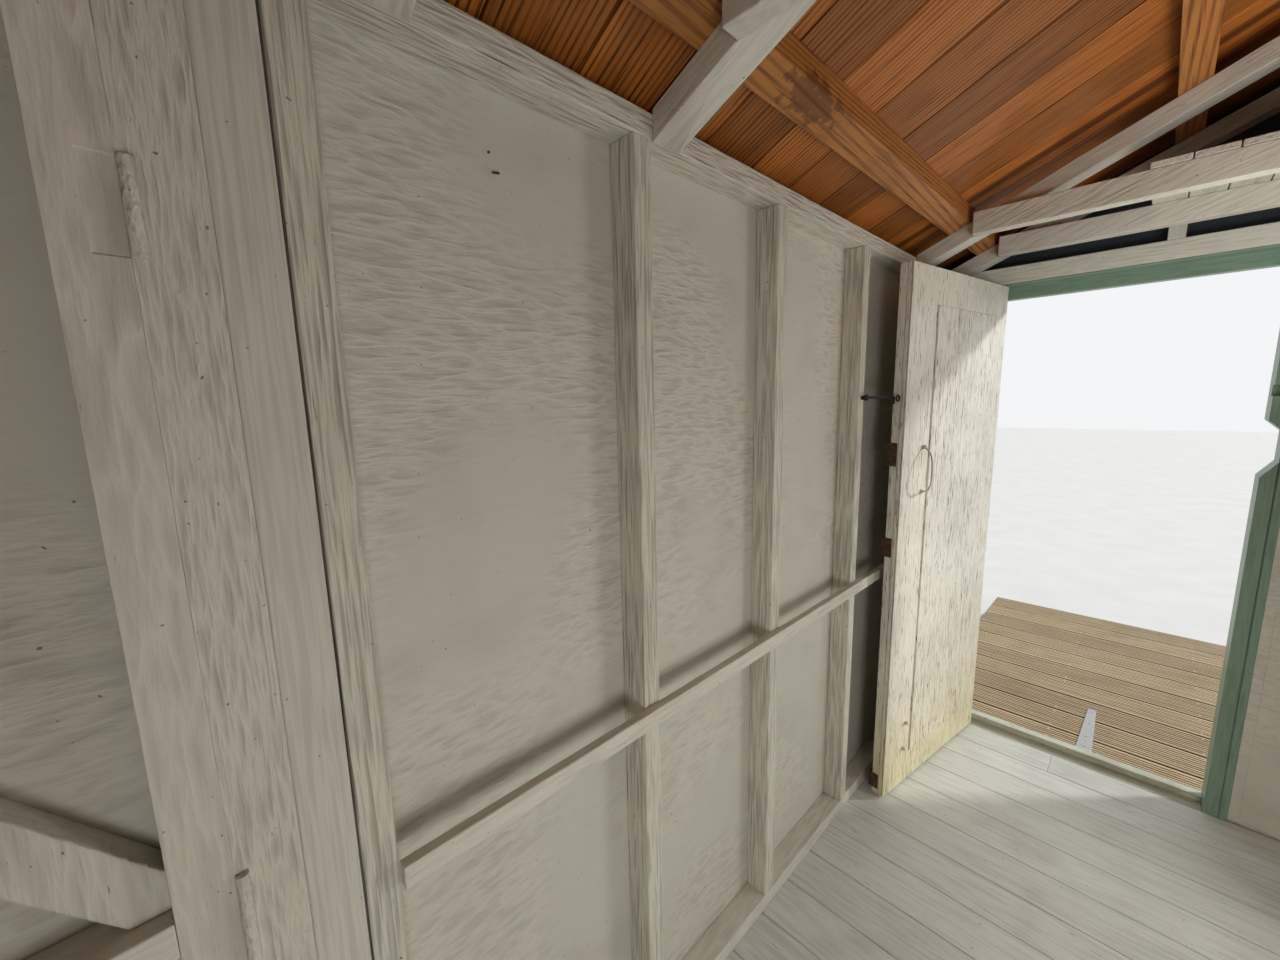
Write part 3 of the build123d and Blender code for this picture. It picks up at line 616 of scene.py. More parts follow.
@dataclass(frozen=True)
class Felt:
    """Mineral roofing felt with its granules and laps.

    Args:
        name: the material's name.
        lap: how far from the ridge one sheet laps over the next, in metres.
    """

    name: str
    lap: float

    def build(self) -> Material:
        """The felt's material."""
        surface = start_surface(self.name)
        graph, shader = surface.graph, surface.shader
        grit = graph.noise(surface.place, GRANULES_PER_METRE, 2.0, 0.7)
        wash = graph.noise(surface.place, WASHES_PER_METRE, 4.0, 0.6)
        colour = graph.tint(linear("33373a"), "6c706c", graph.fade(grit, 0.35, 0.7))
        colour = graph.tint(colour, "5d6350", graph.fade(wash, 0.5, 0.8, 0.0, 0.55))
        across = graph.math("ABSOLUTE", graph.axis(surface.here, 0))
        sheet = graph.fade(graph.math("PINGPONG", across, self.lap), LAP_EDGE, 2 * LAP_EDGE)
        colour = graph.tint(colour, "1c1e1f", graph.fade(sheet, 0.0, 1.0, 0.75, 0.0))
        graph.feed(shader, "Base Color", colour)
        shader.inputs["Roughness"].default_value = 0.95
        set_relief(surface, graph.plus(grit, sheet), FELT_DEPTH, 0.9)
        return surface.material


@dataclass(frozen=True)
class Glass:
    """Old window glass with a little salt on it.

    Args:
        name: the material's name.
    """

    name: str

    def build(self) -> Material:
        """The glass's material."""
        surface = start_surface(self.name)
        graph, shader = surface.graph, surface.shader
        salt = graph.noise(surface.place, 16.0, 4.0, 0.7)
        graph.feed(shader, "Base Color", graph.tint(linear("f2f8f6"), "dfe6e2", graph.fade(salt, 0.4, 0.8)))
        graph.feed(shader, "Roughness", graph.fade(salt, 0.45, 0.85, 0.02, 0.16))
        shader.inputs["Transmission Weight"].default_value = 1.0
        shader.inputs["IOR"].default_value = 1.45
        return surface.material


def sage(name: str, run: Run) -> Paint:
    """The sage green paint of the trim."""
    return Paint(name, "88a28f", "4f5b4e", run, 60.0, 9.0, 0.0020, 0.22, 0.35, 0.42)


def lining(name: str, run: Run, foot: Foot | None = None) -> Paint:
    """The wrinkled cream paint of the lining."""
    return Paint(
        name, "e0dccf", "a79d8b", run, 62.0, 4.2, 0.0040, 0.13, 0.3, 0.45, foot=foot, ridges=1.5, calm=0.10,
        hollow_shade=0.15,
    )


def boarding(name: str, run: Run) -> Paint:
    """The cream paint of the outer boards."""
    return Paint(name, "dcd7c8", "a39479", run, 45.0, 10.0, 0.0020, 0.34, 0.25, 0.55, tone=0.06)


def deck_wood(name: str, light: str, dark: str, roughness: float, spread: float) -> Timber:
    """The bare softwood of the deck."""
    return Timber(name, light, dark, Run.ACROSS, 5.0, 24.0, 1.5, 30.0, 0.35, 0.0, roughness, spread)


class Finish(Enum):
    """The hut's finishes, one material each."""

    LINING = lining("lining_paint", Run.ALONG)
    LINING_ACROSS = lining("end_lining_paint", Run.ACROSS, Foot("7b6a4e", 0.158, 0.172, 0.8))
    COMBED = Paint(
        "combed_stud_paint", "e2dece", "8d816d", Run.UP, 120.0, 24.0, 0.0046, 0.36, 0.4, 0.5, calm=0.8,
        hollow_shade=0.36,
    )
    PLANED = Paint("planed_post_paint", "dbd7ca", "91887a", Run.UP, 110.0, 26.0, 0.0010, 0.12, 0.3, 0.45)
    PITTED = Paint(
        "pitted_post_paint", "dcd8ca", "9d9484", Run.UP, 115.0, 9.0, 0.0048, 0.25, 0.45, 0.5, ridges=1.3,
        calm=0.8, hollow_shade=0.24,
    )
    LUMPY = Paint(
        "lumpy_post_paint", "ded9cb", "8f8573", Run.UP, 46.0, 6.0, 0.0060, 0.16, 0.4, 0.48, calm=0.5,
        hollow_shade=0.20,
    )
    UPRIGHT = Paint("upright_paint", "dedacc", "857a68", Run.UP, 75.0, 8.0, 0.0050, 0.28, 0.4, 0.48)
    RAIL = Paint("rail_paint", "dfdbce", "8f8472", Run.ALONG, 75.0, 9.0, 0.0026, 0.22, 0.35, 0.48)
    SAWN = Paint(
        "sawn_plate_paint", "ded9cb", "7f7364", Run.ALONG, 95.0, 11.0, 0.0044, 0.28, 0.45, 0.5, tone=0.2,
        calm=0.8, hollow_shade=0.22,
    )
    END_RAIL = Paint("end_rail_paint", "dfdbce", "8f8472", Run.ACROSS, 75.0, 9.0, 0.0030, 0.26, 0.35, 0.48)
    RAFTER = Paint("rafter_paint", "dbd6ca", "83776a", Run.SLOPE, 70.0, 9.0, 0.0026, 0.26, 0.4, 0.5)
    BARREL = Paint(
        "hinge_barrel_paint", "ded8cc", "93806f", Run.UP, 130.0, 2.0, 0.0040, 0.26, 0.4, 0.5, tone=0.06
    )
    DOOR = Paint(
        "door_paint", "ebe7d8", "6b5c48", Run.UP, 92.0, 15.0, 0.0044, 0.72, 0.35, 0.42, tone=0.10,
        foot=Foot("d9cd9c", 0.16, 0.75, 0.75),
    )
    DOOR_PANEL = Paint(
        "door_panel_paint", "ece8da", "6f604c", Run.UP, 80.0, 16.0, 0.0050, 0.80, 0.3, 0.4, tone=0.12,
        foot=Foot("dbd2a6", 0.2, 0.8, 0.6),
    )
    SAGE_UP = sage("sage_upright_paint", Run.UP)
    SAGE_ACROSS = sage("sage_rail_paint", Run.ACROSS)
    SAGE_ALONG = sage("sage_eaves_paint", Run.ALONG)
    SAGE_SLOPE = sage("sage_barge_paint", Run.SLOPE)
    SILL = Paint(
        "sill_paint", "d9dac8", "6d6a50", Run.ACROSS, 60.0, 8.0, 0.0030, 0.55, 0.8, 0.6,
        foot=Foot("aeaa92", 0.155, 0.162, 0.8),
    )
    BOARDING = boarding("boarding_paint", Run.ALONG)
    END_BOARDING = boarding("end_boarding_paint", Run.ACROSS)
    # A very dark blue-grey: partly the gable's dark paint and partly painted shade.
    GABLE_INSIDE_SHADE = Paint(
        "gable_inside_paint_and_shade", "3e464e", "2a2c2e", Run.ACROSS, 50.0, 8.0, 0.0012, 0.3, 0.3, 0.6
    )
    FLOOR = Paint("floor_paint", "e2e3dc", "77705f", Run.ACROSS, 50.0, 12.0, 0.0, 0.36, 0.45, 0.45, tone=0.10)
    ROPE = Paint("rope_paint", "ddd6c4", "9c8f76", Run.UP, 260.0, 2.0, 0.0030, 0.3, 0.4, 0.7)
    ROOF = Timber(
        "roof_stain", "b66d2e", "341507", Run.SLOPE, 8.0, 78.0, 3.0, 34.0, 0.75, 0.0, 0.5, 0.65, splash=0.35
    )
    PURLIN = Timber(
        "purlin_stain", "a96f38", "65381b", Run.ALONG, 8.0, 95.0, 1.5, 45.0, 1.0, 0.0010, 0.5, splash=0.2,
        scar=Scar((0.815, 0.72, 2.268), (0.036, 0.10, 0.03)),
    )
    DECKING = deck_wood("decking", "cdb997", "a88f6c", 0.75, 0.3)
    # Painted shade: the groove floors get a darker wood, as shade in the grooves.
    DECK_GROOVE_SHADE = deck_wood("decking_groove_shade", "917a5a", "6d563a", 0.85, 0.2)
    # Painted shade: the boards' sides, seen down the gaps, are made nearly black.
    DECK_EDGE_SHADE = deck_wood("decking_edge_shade", "45331f", "261a0e", 0.85, 0.2)
    JOIST = Timber("joist_timber", "8d7459", "5a4632", Run.ALONG, 9.0, 100.0, 5.0, 9.0, 0.7, 0.0010, 0.8)
    BEARER = Timber("tarred_timber", "4a3b2c", "21180f", Run.ALONG, 9.0, 90.0, 5.0, 9.0, 0.5, 0.0010, 0.75)
    IRON = Metal("black_iron", "121212", "2b1c15", 0.15, 0.0, 0.6)
    STEEL = Metal("old_steel", "4c453d", "4e301e", 0.75, 0.3, 0.6)
    NAIL = Metal("painted_nail", "cfc9bb", "8b7558", 0.35, 0.1, 0.5)
    ZINC = Metal("zinc_coat", "a9a9a4", "8f8f88", 0.3, 0.4, 0.5, 0.4)
    FELT = Felt("mineral_felt", 0.62)
    GLASS = Glass("window_glass")


@cache
def finish(kind: Finish) -> Material:
    """The material of a finish, built the first time that it is asked for."""
    return kind.value.build()


WELD_REACH = 0.00002
SHARP_ANGLE = math.radians(35)


def dress(name: str, kind: Finish, edge: float = 0.0) -> None:
    """Gives a CAD node a finish, and its edges a small round once its loose triangles are joined.

    Args:
        name: the node.
        kind: its finish.
        edge: the round on its edges in metres, or 0 to leave them.
    """
    node = frame["nodes"][name]
    node.data.materials.clear()
    node.data.materials.append(finish(kind))
    if edge:
        weld = node.modifiers.new("join", "WELD")
        weld.merge_threshold = WELD_REACH
        bevel = node.modifiers.new("edges", "BEVEL")
        bevel.width = edge
        bevel.segments = 2
        bevel.limit_method = "ANGLE"
        bevel.angle_limit = SHARP_ANGLE


@dataclass(frozen=True)
class Head:
    """The head of a nail or screw in a level face.

    Args:
        radius: its radius.
        below: how far it reaches below the face.
        above: how far it stands off the face.
        sides: how many sides it has.
        tip: its radius at the top, the same when left out.
    """

    radius: float
    below: float
    above: float
    sides: int
    tip: float | None = None


GOLDEN = 0.618034
TONE_REACH = 0.98
TONE_START = 0.01
CUT_REACH = 0.000001


@dataclass
class Maker:
    """One mesh being made of boards, rods and heads.

    Args:
        mesh: the bmesh.
        layer: the face layer that tells the boards apart.
        count: how many parts it has so far.
    """

    mesh: bmesh.types.BMesh
    layer: bmesh.types.BMLayerItem
    count: int = 0

    @classmethod
    def start(cls) -> "Maker":
        """An empty mesh with its board layer."""
        mesh = bmesh.new()
        return cls(mesh, mesh.faces.layers.float.new("board"))

    def mark(self, slot: int | None = 0) -> None:
        """Gives the faces made since the last call their board value and, if there is one, a slot."""
        self.count += 1
        tone = (self.count * GOLDEN) % 1.0 * TONE_REACH + TONE_START
        for face in self.mesh.faces:
            if face[self.layer] == 0.0:
                face[self.layer] = tone
                if slot is not None:
                    face.material_index = slot

    def board(self, low: Vector, high: Vector, edge: float, slot: int = 0, taper: float = 0.0) -> None:
        """A board between two corners.

        Args:
            low: its lowest corner.
            high: its highest corner.
            edge: the bevel on its arrises.
            slot: its material slot.
            taper: how much thinner its top is on the +X side, as on a lapped board.
        """
        made = bmesh.ops.create_cube(self.mesh, size=1.0)["verts"]
        middle = (low + high) / 2
        bmesh.ops.scale(self.mesh, vec=high - low, verts=made)
        bmesh.ops.translate(self.mesh, vec=middle, verts=made)
        if taper:
            top = [v for v in made if v.co.z > middle.z and v.co.x > middle.x]
            bmesh.ops.translate(self.mesh, vec=Vector((-taper, 0, 0)), verts=top)
        edges = list({e for v in made for e in v.link_edges})
        bmesh.ops.bevel(
            self.mesh, geom=edges, offset=edge, segments=1, profile=0.5, affect="EDGES", material=-1,
            clamp_overlap=True,
        )
        self.mark(slot)

    def rod(
        self, foot: Vector, head: Vector, radius: float, sides: int, slot: int = 0, tip: float | None = None
    ) -> None:
        """A round bar, or a cone, from foot to head.

        Args:
            foot: the middle of its first end.
            head: the middle of its other end.
            radius: its radius at the foot.
            sides: how many sides it has.
            slot: its material slot.
            tip: its radius at the head, the same as the foot's when left out.
        """
        way = head - foot
        spin = Vector((0, 0, 1)).rotation_difference(way).to_matrix().to_4x4()
        place = Matrix.Translation((foot + head) / 2) @ spin
        bmesh.ops.create_cone(
            self.mesh, cap_ends=True, cap_tris=False, segments=sides, radius1=radius,
            radius2=radius if tip is None else tip, depth=way.length, matrix=place,
        )
        self.mark(slot)

    def head(self, x: float, y: float, level: float, kind: Head, slot: int = 0) -> None:
        """The head of a nail or screw at a place on a level face."""
        foot, top = Vector((x, y, level - kind.below)), Vector((x, y, level + kind.above))
        self.rod(foot, top, kind.radius, kind.sides, slot, kind.tip)

    def divide(self, point: Vector, way: Vector, **rules: object) -> list[object]:
        """Divides the whole mesh by a plane and gives what lies along the cut."""
        whole = [*self.mesh.verts, *self.mesh.edges, *self.mesh.faces]
        made = bmesh.ops.bisect_plane(self.mesh, geom=whole, plane_co=point, plane_no=way, **rules)
        return made["geom_cut"]

    def cut(self, point: Vector, outward: Vector) -> None:
        """Cuts off what lies beyond a plane and closes the cut."""
        made = self.divide(point, outward, clear_outer=True, dist=CUT_REACH)
        edges = [e for e in made if isinstance(e, bmesh.types.BMEdge) and e.is_boundary]
        if edges:
            bmesh.ops.edgeloop_fill(self.mesh, edges=edges)

    def absorb(self, other: "Maker") -> None:
        """Takes in another mesh as one more board that keeps its own material slots."""
        data = bpy.data.meshes.new("board")
        other.mesh.to_mesh(data)
        other.mesh.free()
        before = len(self.mesh.faces)
        self.mesh.from_mesh(data)
        bpy.data.meshes.remove(data)
        for face in list(self.mesh.faces)[before:]:
            face[self.layer] = 0.0
        self.mark(None)

    def close(
        self, name: str, body: str, slot: str, kinds: list[Finish], stands_for: list[str],
        turn: Matrix | None = None,
    ) -> Object:
        """Turns the mesh into a finished object on its body.

        Args:
            name: the object's name.
            body: the CAD body it rides on.
            slot: the record's material slot, not used.
            kinds: the finishes of its material slots.
            stands_for: the CAD nodes that it replaces.
            turn: a last move of the whole mesh.

        Returns:
            The object.
        """
        if turn is not None:
            bmesh.ops.transform(self.mesh, matrix=turn, verts=list(self.mesh.verts))
        bmesh.ops.recalc_face_normals(self.mesh, faces=list(self.mesh.faces))
        data = bpy.data.meshes.new(name)
        self.mesh.to_mesh(data)
        self.mesh.free()
        piece = add_object(name, data)
        for kind in kinds:
            data.materials.append(finish(kind))
        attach(piece, body)
        if stands_for:
            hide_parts(*stands_for)
        return piece


@dataclass
class FloorBoards:
    """Painted floor boards across the hut, nailed to the bearers."""

    first_joints: tuple[float, ...] = (-0.7155, -0.5905, -0.4415, -0.2905, -0.1455)
    pitch: float = 0.149
    least: float = 0.04
    gap: float = 0.0022
    end_gap: float = 0.0012
    drop: float = 0.0004
    edge: float = 0.0012
    end_joint: float = 0.456
    back_joint: float = -0.746
    bearers: int = 5
    bearer_pitch: float = 0.49725
    nail: Head = Head(0.0035, 0.004, 0.0, 8)
    nail_inset: float = 0.028

    def joints(self, start: float, end: float) -> list[float]:
        """Where the boards meet, from the front of the floor to its back."""
        found = [start, *self.first_joints]
        while found[-1] + self.pitch < end - self.least:
            found.append(found[-1] + self.pitch)
        return [*found, end]

    def build(self) -> Object:
        """The floor's mesh."""
        low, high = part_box("floor")
        maker = Maker.start()
        joints = self.joints(low.y, high.y)
        for index, (near, far) in enumerate(zip(joints, joints[1:])):
            ends = [low.x, high.x]
            if index == 0:
                ends.insert(1, self.end_joint)
            elif index % 3 == 2:
                ends.insert(1, self.back_joint)
            for left, right in zip(ends, ends[1:]):
                maker.board(
                    Vector((left + self.end_gap / 2, near + self.gap / 2, low.z)),
                    Vector((right - self.end_gap / 2, far - self.gap / 2, high.z - self.drop)), self.edge,
                )
            for bearer in range(self.bearers):
                x = (bearer - (self.bearers - 1) / 2) * self.bearer_pitch
                for y in (near + self.nail_inset, far - self.nail_inset):
                    maker.head(x, y, high.z, self.nail, 1)
        return maker.close("floor_boards", "hut", "floor_paint", [Finish.FLOOR, Finish.NAIL], ["floor"])


@dataclass
class RoofBoards:
    """Stained roof boards from eaves to ridge, on both slopes, made too long and then cut."""

    joint: float = 0.1025
    pitch: float = 0.1755
    least: float = 0.02
    gap: float = 0.0045
    thickness: float = 0.018
    skin: float = 0.0002
    edge: float = 0.0014
    extra: float = 0.05
    middle: float = 0.0004

    def slope(self, side: int, node: str, name: str) -> Object:
        """One slope's boards.

        Args:
            side: 1 for the left slope, at +X, or -1 for the right.
            node: the CAD node that it stands for.
            name: the object's name.

        Returns:
            The boards of that slope.
        """
        low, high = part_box(node)
        eaves = max(abs(low.x), abs(high.x))
        length = eaves / math.cos(PITCH)
        ridge = high.z - self.thickness / math.cos(PITCH)
        maker = Maker.start()
        joints = [low.y]
        start = self.joint - self.pitch * math.floor((self.joint - low.y) / self.pitch)
        while start < high.y - self.least:
            if start > low.y + self.least:
                joints.append(start)
            start += self.pitch
        joints.append(high.y)
        for near, far in zip(joints, joints[1:]):
            maker.board(
                Vector((-self.extra, near + self.gap / 2, self.skin)),
                Vector((length + self.extra, far - self.gap / 2, self.thickness - self.skin)), self.edge,
            )
        turn = Matrix.Translation((0, 0, ridge)) @ Matrix.Rotation(PITCH, 4, "Y")
        bmesh.ops.transform(maker.mesh, matrix=turn, verts=list(maker.mesh.verts))
        maker.cut(Vector((self.middle, 0, 0)), Vector((-1, 0, 0)))
        maker.cut(Vector((eaves, 0, 0)), Vector((1, 0, 0)))
        mirror = Matrix.Scale(-1, 4, (1, 0, 0)) if side < 0 else None
        return maker.close(name, "hut", "stained_wood", [Finish.ROOF], [node], mirror)

    def build(self) -> list[Object]:
        """Both slopes."""
        return [
            self.slope(1, "left_roof_boards", "left_slope_boards"),
            self.slope(-1, "right_roof_boards", "right_slope_boards"),
        ]


@dataclass
class LoftBoards:
    """Short boards laid on the ties above the door."""

    width: float = 0.084
    gap: float = 0.003
    edge: float = 0.0018

    def build(self) -> Object:
        """The loft boards' mesh."""
        low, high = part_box("loft_boards")
        maker = Maker.start()
        count = round((high.x - low.x) / self.width)
        step = (high.x - low.x) / count
        for index in range(count):
            left = low.x + index * step + self.gap / 2
            right = low.x + index * step + step - self.gap / 2
            maker.board(Vector((left, low.y, low.z)), Vector((right, high.y, high.z)), self.edge)
        return maker.close("loft_floor_boards", "hut", "cream_paint", [Finish.RAIL], ["loft_boards"])


class Facing(Enum):
    """Which way the outside of a wall faces, in degrees from +X."""

    LEFT = 0.0
    BACK = 90.0
    RIGHT = 180.0
    FRONT = -90.0


@dataclass
class Cladding:
    """A wall: a core with the finish inside, and lapped boards outside.

    Args:
        node: the CAD wall that it stands for.
        facing: which way the boards face.
        inner: the finish inside.
        outer: the finish of the boards.
        gabled: whether the roof cuts it to a gable.
        exposure: how much of each board shows.
        lap: how far each one hangs over the one below.
        least: the lowest strip that still gets a board.
        board: how far the boards stand off the core.
        feather: how much thinner a board's top is.
        core_edge: the bevel on the core's arrises.
        edge: the bevel on a board's arrises.
    """

    node: str
    facing: Facing
    inner: Finish
    outer: Finish
    gabled: bool = False
    exposure: float = 0.1395
    lap: float = 0.012
    least: float = 0.03
    board: float = 0.018
    feather: float = 0.0125
    core_edge: float = 0.0008
    edge: float = 0.0016

    def build(self) -> Object:
        """The wall's mesh, made facing +X and turned to its side."""
        low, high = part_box(self.node)
        turn = Matrix.Rotation(math.radians(self.facing.value), 4, "Z")
        corners = [turn.inverted() @ Vector((x, y, 0)) for x in (low.x, high.x) for y in (low.y, high.y)]
        near = Vector((min(c.x for c in corners), min(c.y for c in corners), low.z))
        far = Vector((max(c.x for c in corners), max(c.y for c in corners), high.z))
        core = far.x - self.board
        maker = Maker.start()
        maker.board(near, Vector((core, far.y, far.z)), self.core_edge)
        level = low.z
        while level < high.z - self.least:
            top = min(level + self.exposure + self.lap, far.z)
            shift = 0.0 if level == low.z else -self.lap
            maker.board(
                Vector((core, near.y, level + shift)), Vector((far.x, far.y, top + shift)), self.edge, 1,
                self.feather,
            )
            level = top
        if self.gabled:
            ridge = Vector((far.x, 0, far.z))
            for side in (-1, 1):
                maker.cut(ridge, Vector((0, side * math.sin(PITCH), math.cos(PITCH))))
        kinds = [self.inner, self.outer]
        return maker.close(f"{self.node}_boarding", "hut", "cream_paint", kinds, [self.node], turn)


@dataclass
class DeckFlap:
    """The deck's grooved boards and screws, its strap hinges and its joists.

    A groove has a lip on both sides. The touch and the margin tell its faces from the board's own, and
    a face points up or sideways when its normal's part that way is over the upright value.
    """

    joints: tuple[float, ...] = (
        -2.7845, -2.5935, -2.4075, -2.2215, -2.0395, -1.8535, -1.6675, -1.4815, -1.2955, -1.1105, -0.9925,
    )
    gap: float = 0.012
    edge: float = 0.002
    groove: float = 0.0065
    land: float = 0.0105
    depth: float = 0.003
    rim: float = 0.006
    lip: float = 0.0008
    touch: float = 0.0005
    margin: float = 0.004
    upright: float = 0.9
    joists: int = 5
    joist_width: float = 0.045
    screw: Head = Head(0.0042, 0.004, 0.0004, 10)
    screw_inset: float = 0.022
    straps: tuple[float, float] = (-0.365, 0.365)
    strap_thickness: float = 0.003
    strap_edge: float = 0.0006
    strap_screw: Head = Head(0.0055, 0.001, 0.0022, 12, 0.0035)
    strap_screws: tuple[float, ...] = (-1.03, -1.12, -1.25, -1.375)

    def plank(self, low: Vector, high: Vector) -> Maker:
        """One board with grooves sunk along its top.

        Args:
            low: the board's lowest corner.
            high: its highest corner.

        Returns:
            Its mesh, with the grooves in slot 1 and the sides in slot 2, both darkened as painted shade.
        """
        plank = Maker.start()
        plank.board(low, high, self.edge)
        step = self.groove + self.land
        count = int((high.y - low.y - 2 * self.rim) / step)
        start = (low.y + high.y - count * step + self.land) / 2
        for index in range(count):
            for y in (start + index * step, start + index * step + self.groove):
                plank.divide(Vector((0, y, 0)), Vector((0, 1, 0)))
        strips = []
        top = high.z - self.touch
        for face in plank.mesh.faces:
            middle = face.calc_center_median()
            inside = start < middle.y < start + count * step
            in_groove = inside and (middle.y - start) % step < self.groove
            if face.normal.z > self.upright and middle.z > top and in_groove:
                strips.append(face)
        bmesh.ops.inset_individual(plank.mesh, faces=strips, thickness=self.lip, depth=-self.depth)
        bottom = high.z - self.depth - 2 * self.touch
        for face in plank.mesh.faces:
            middle = face.calc_center_median()
            sunk = bottom < middle.z < top and low.y + self.margin < middle.y < high.y - self.margin
            # Painted shade: the sides take the near-black slot 2 and the groove floors the darker slot 1.
            side = abs(face.normal.y) > self.upright and not sunk
            face.material_index = 2 if side else int(sunk)
        return plank

    def build(self) -> list[Object]:
        """The deck's boards and screws."""
        low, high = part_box("deck_boards")
        maker = Maker.start()
        screws = Maker.start()
        joist_pitch = (high.x - low.x - self.joist_width) / (self.joists - 1)
        for near, far in zip(self.joints, self.joints[1:]):
            first = low.y if near == self.joints[0] else near + self.gap / 2
            last = high.y if far == self.joints[-1] else far - self.gap / 2
            maker.absorb(self.plank(Vector((low.x, first, low.z)), Vector((high.x, last, high.z))))
            for joist in range(self.joists):
                x = (joist - (self.joists - 1) / 2) * joist_pitch
                for y in (first + self.screw_inset, last - self.screw_inset):
                    screws.head(x, y, high.z, self.screw)
        kinds = [Finish.DECKING, Finish.DECK_GROOVE_SHADE, Finish.DECK_EDGE_SHADE]
        boards = maker.close("deck_planks", "deck", "deck_timber", kinds, ["deck_boards"])
        for x in self.straps:
            for y in self.strap_screws:
                screws.head(x, y, high.z + self.strap_thickness, self.strap_screw)
        heads = screws.close("deck_screws", "deck", "galvanised", [Finish.ZINC], [])
        for name in ("deck_hinges", "hinge_plates"):
            dress(name, Finish.ZINC, self.strap_edge)
        for name in ("deck_joists", "deck_feet"):
            dress(name, Finish.JOIST, self.edge)
        return [boards, heads]


@dataclass
class Framing:
    """The posts, plates, trusses and other timbers that stay as the CAD has them."""

    edge: float = 0.0025
    filled_edge: float = 0.0008
    filled: tuple[str, ...] = ("post_hinges", "shutter_post", "hinge_post")
    nail_radius: float = 0.0018
    nails: tuple[tuple[Point, Point], ...] = (
        ((1.036, 1.319, 2.036), (1.019, 1.315, 2.030)),
        ((1.036, 1.324, 2.062), (1.029, 1.324, 2.061)),
    )

    def dress(self) -> None:
        """Gives each timber the finish that runs its way."""
        runs = {
            Finish.COMBED: "left_studs right_studs back_studs",
            Finish.PLANED: "planed_post",
            Finish.PITTED: "hinge_post",
            Finish.LUMPY: "shutter_post",
            Finish.UPRIGHT: "corner_brace gable_studs",
            Finish.BARREL: "post_hinges",
            Finish.RAIL: "sole_plates mid_rails corner_noggin",
            Finish.SAWN: "wall_plates",
            Finish.END_RAIL: "front_plate",
            Finish.RAFTER: "front_truss loft_truss middle_truss post_truss back_truss",
            Finish.PURLIN: "purlins ridge_board",
            Finish.SAGE_UP: "left_jamb right_jamb corner_boards window_frame",
            Finish.SAGE_ACROSS: "door_head front_trim_board",
            Finish.SAGE_ALONG: "eaves_boards",
            Finish.SAGE_SLOPE: "barge_boards",
            Finish.SILL: "door_sill",
            Finish.BEARER: "floor_bearers",
        }
        for kind, names in runs.items():
            for name in names.split():
                dress(name, kind, self.filled_edge if name in self.filled else self.edge)
        dress("roof_felt", Finish.FELT)
        dress("window_panes", Finish.GLASS)

    def old_nails(self) -> Object:
        """The bent nails left in the lining."""
        maker = Maker.start()
        for foot, head in self.nails:
            maker.rod(Vector(foot), Vector(head), self.nail_radius, 8)
        return maker.close("old_nails", "hut", "old_steel", [Finish.STEEL], [])


@dataclass
class FrontDoor:
    """The door's finishes and its rope pull.

    Args:
        edge: the round on the timber's edges.
        fitting_edge: the round on the lock case's and bolt's edges.
        hook_edge: the round on the cabin hook's edges.
        rest_angle: how far the open leaf stands off the hut's length, in degrees.
        thickness: the leaf's thickness.
        rope_radius: the rope's radius.
        rope_length: its length from knot to knot, not used.
        rope_points: its route, in millimetres along the leaf, above the floor and off the face.
    """

    edge: float = 0.002
    fitting_edge: float = 0.0006
    hook_edge: float = 0.001
    rest_angle: float = 9.07
    thickness: float = 0.045
    rope_radius: float = 0.003
    rope_length: float = 0.205
    rope_points: tuple[Point, ...] = (
        (631, 1348, 9), (636, 1339, 25), (645, 1320, 38), (653, 1296, 46), (658, 1270, 49),
        (658, 1243, 49), (654, 1218, 45), (644, 1200, 34), (633, 1192, 20), (628, 1189, 7),
    )

    def dress(self) -> None:
        """Gives the leaf, its panel and its fittings their finishes."""
        dress("door_frame", Finish.DOOR, self.edge)
        dress("door_panel", Finish.DOOR_PANEL, self.edge)
        dress("door_hinges", Finish.STEEL)
        dress("door_fittings", Finish.STEEL, self.fitting_edge)
        dress("hook_eye", Finish.IRON)
        dress("cabin_hook", Finish.IRON, self.hook_edge)
        dress("hook_bracket", Finish.IRON)
        dress("rope_knots", Finish.ROPE)

    def leaf(self, along: float, rise: float, off: float) -> Vector:
        """A point off the leaf's outer face.

        Args:
            along: its place along the leaf from the hinge, in metres.
            rise: its height above the floor, in metres.
            off: its distance off the face, in metres.

        Returns:
            The point in the hut's frame.
        """
        hinge = next(joint for joint in frame["joints"] if joint["child"] == "front_door")
        turn = Matrix.Rotation(-math.radians(self.rest_angle), 3, "Z")
        step = turn @ Vector((-self.thickness - off, along, 0))
        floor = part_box("floor")[1].z
        return Vector((hinge["pos_m"][0], hinge["pos_m"][1], floor + rise)) + step

    def rope(self) -> Object:
        """The rope pull, a cord from knot to knot."""
        line = bpy.data.curves.new("rope_handle", "CURVE")
        line.dimensions = "3D"
        line.bevel_depth = self.rope_radius
        line.bevel_resolution = 4
        line.resolution_u = 8
        spline = line.splines.new("NURBS")
        spline.points.add(len(self.rope_points) - 1)
        for point, (along, rise, off) in zip(spline.points, self.rope_points):
            point.co = (*self.leaf(along / 1000, rise / 1000, off / 1000), 1.0)
        spline.order_u = 3
        spline.use_endpoint_u = True
        rope = add_object("rope_handle", line)
        line.materials.append(finish(Finish.ROPE))
        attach(rope, "front_door")
        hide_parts("rope_pull")
        return rope


def aim(way: Vector) -> Matrix:
    """The turn of a light that shines a given way."""
    return way.to_track_quat("-Z", "Y").to_matrix().to_4x4()


@dataclass(frozen=True)
class Lamp:
    """A square soft lamp that the camera doesn't see.

    Args:
        name: its name.
        place: where it hangs.
        target: what it points at.
        size: its side in metres.
        watts: its power.
    """

    name: str
    place: Point
    target: Point
    size: float
    watts: float

    def build(self) -> None:
        """Hangs the lamp."""
        data = bpy.data.lights.new(self.name, "AREA")
        data.size = self.size
        data.energy = self.watts
        lamp = add_object(self.name, data)
        lamp.matrix_world = Matrix.Translation(self.place) @ aim(Vector(self.target) - Vector(self.place))
        lamp.visible_camera = False
        lamp.visible_glossy = False


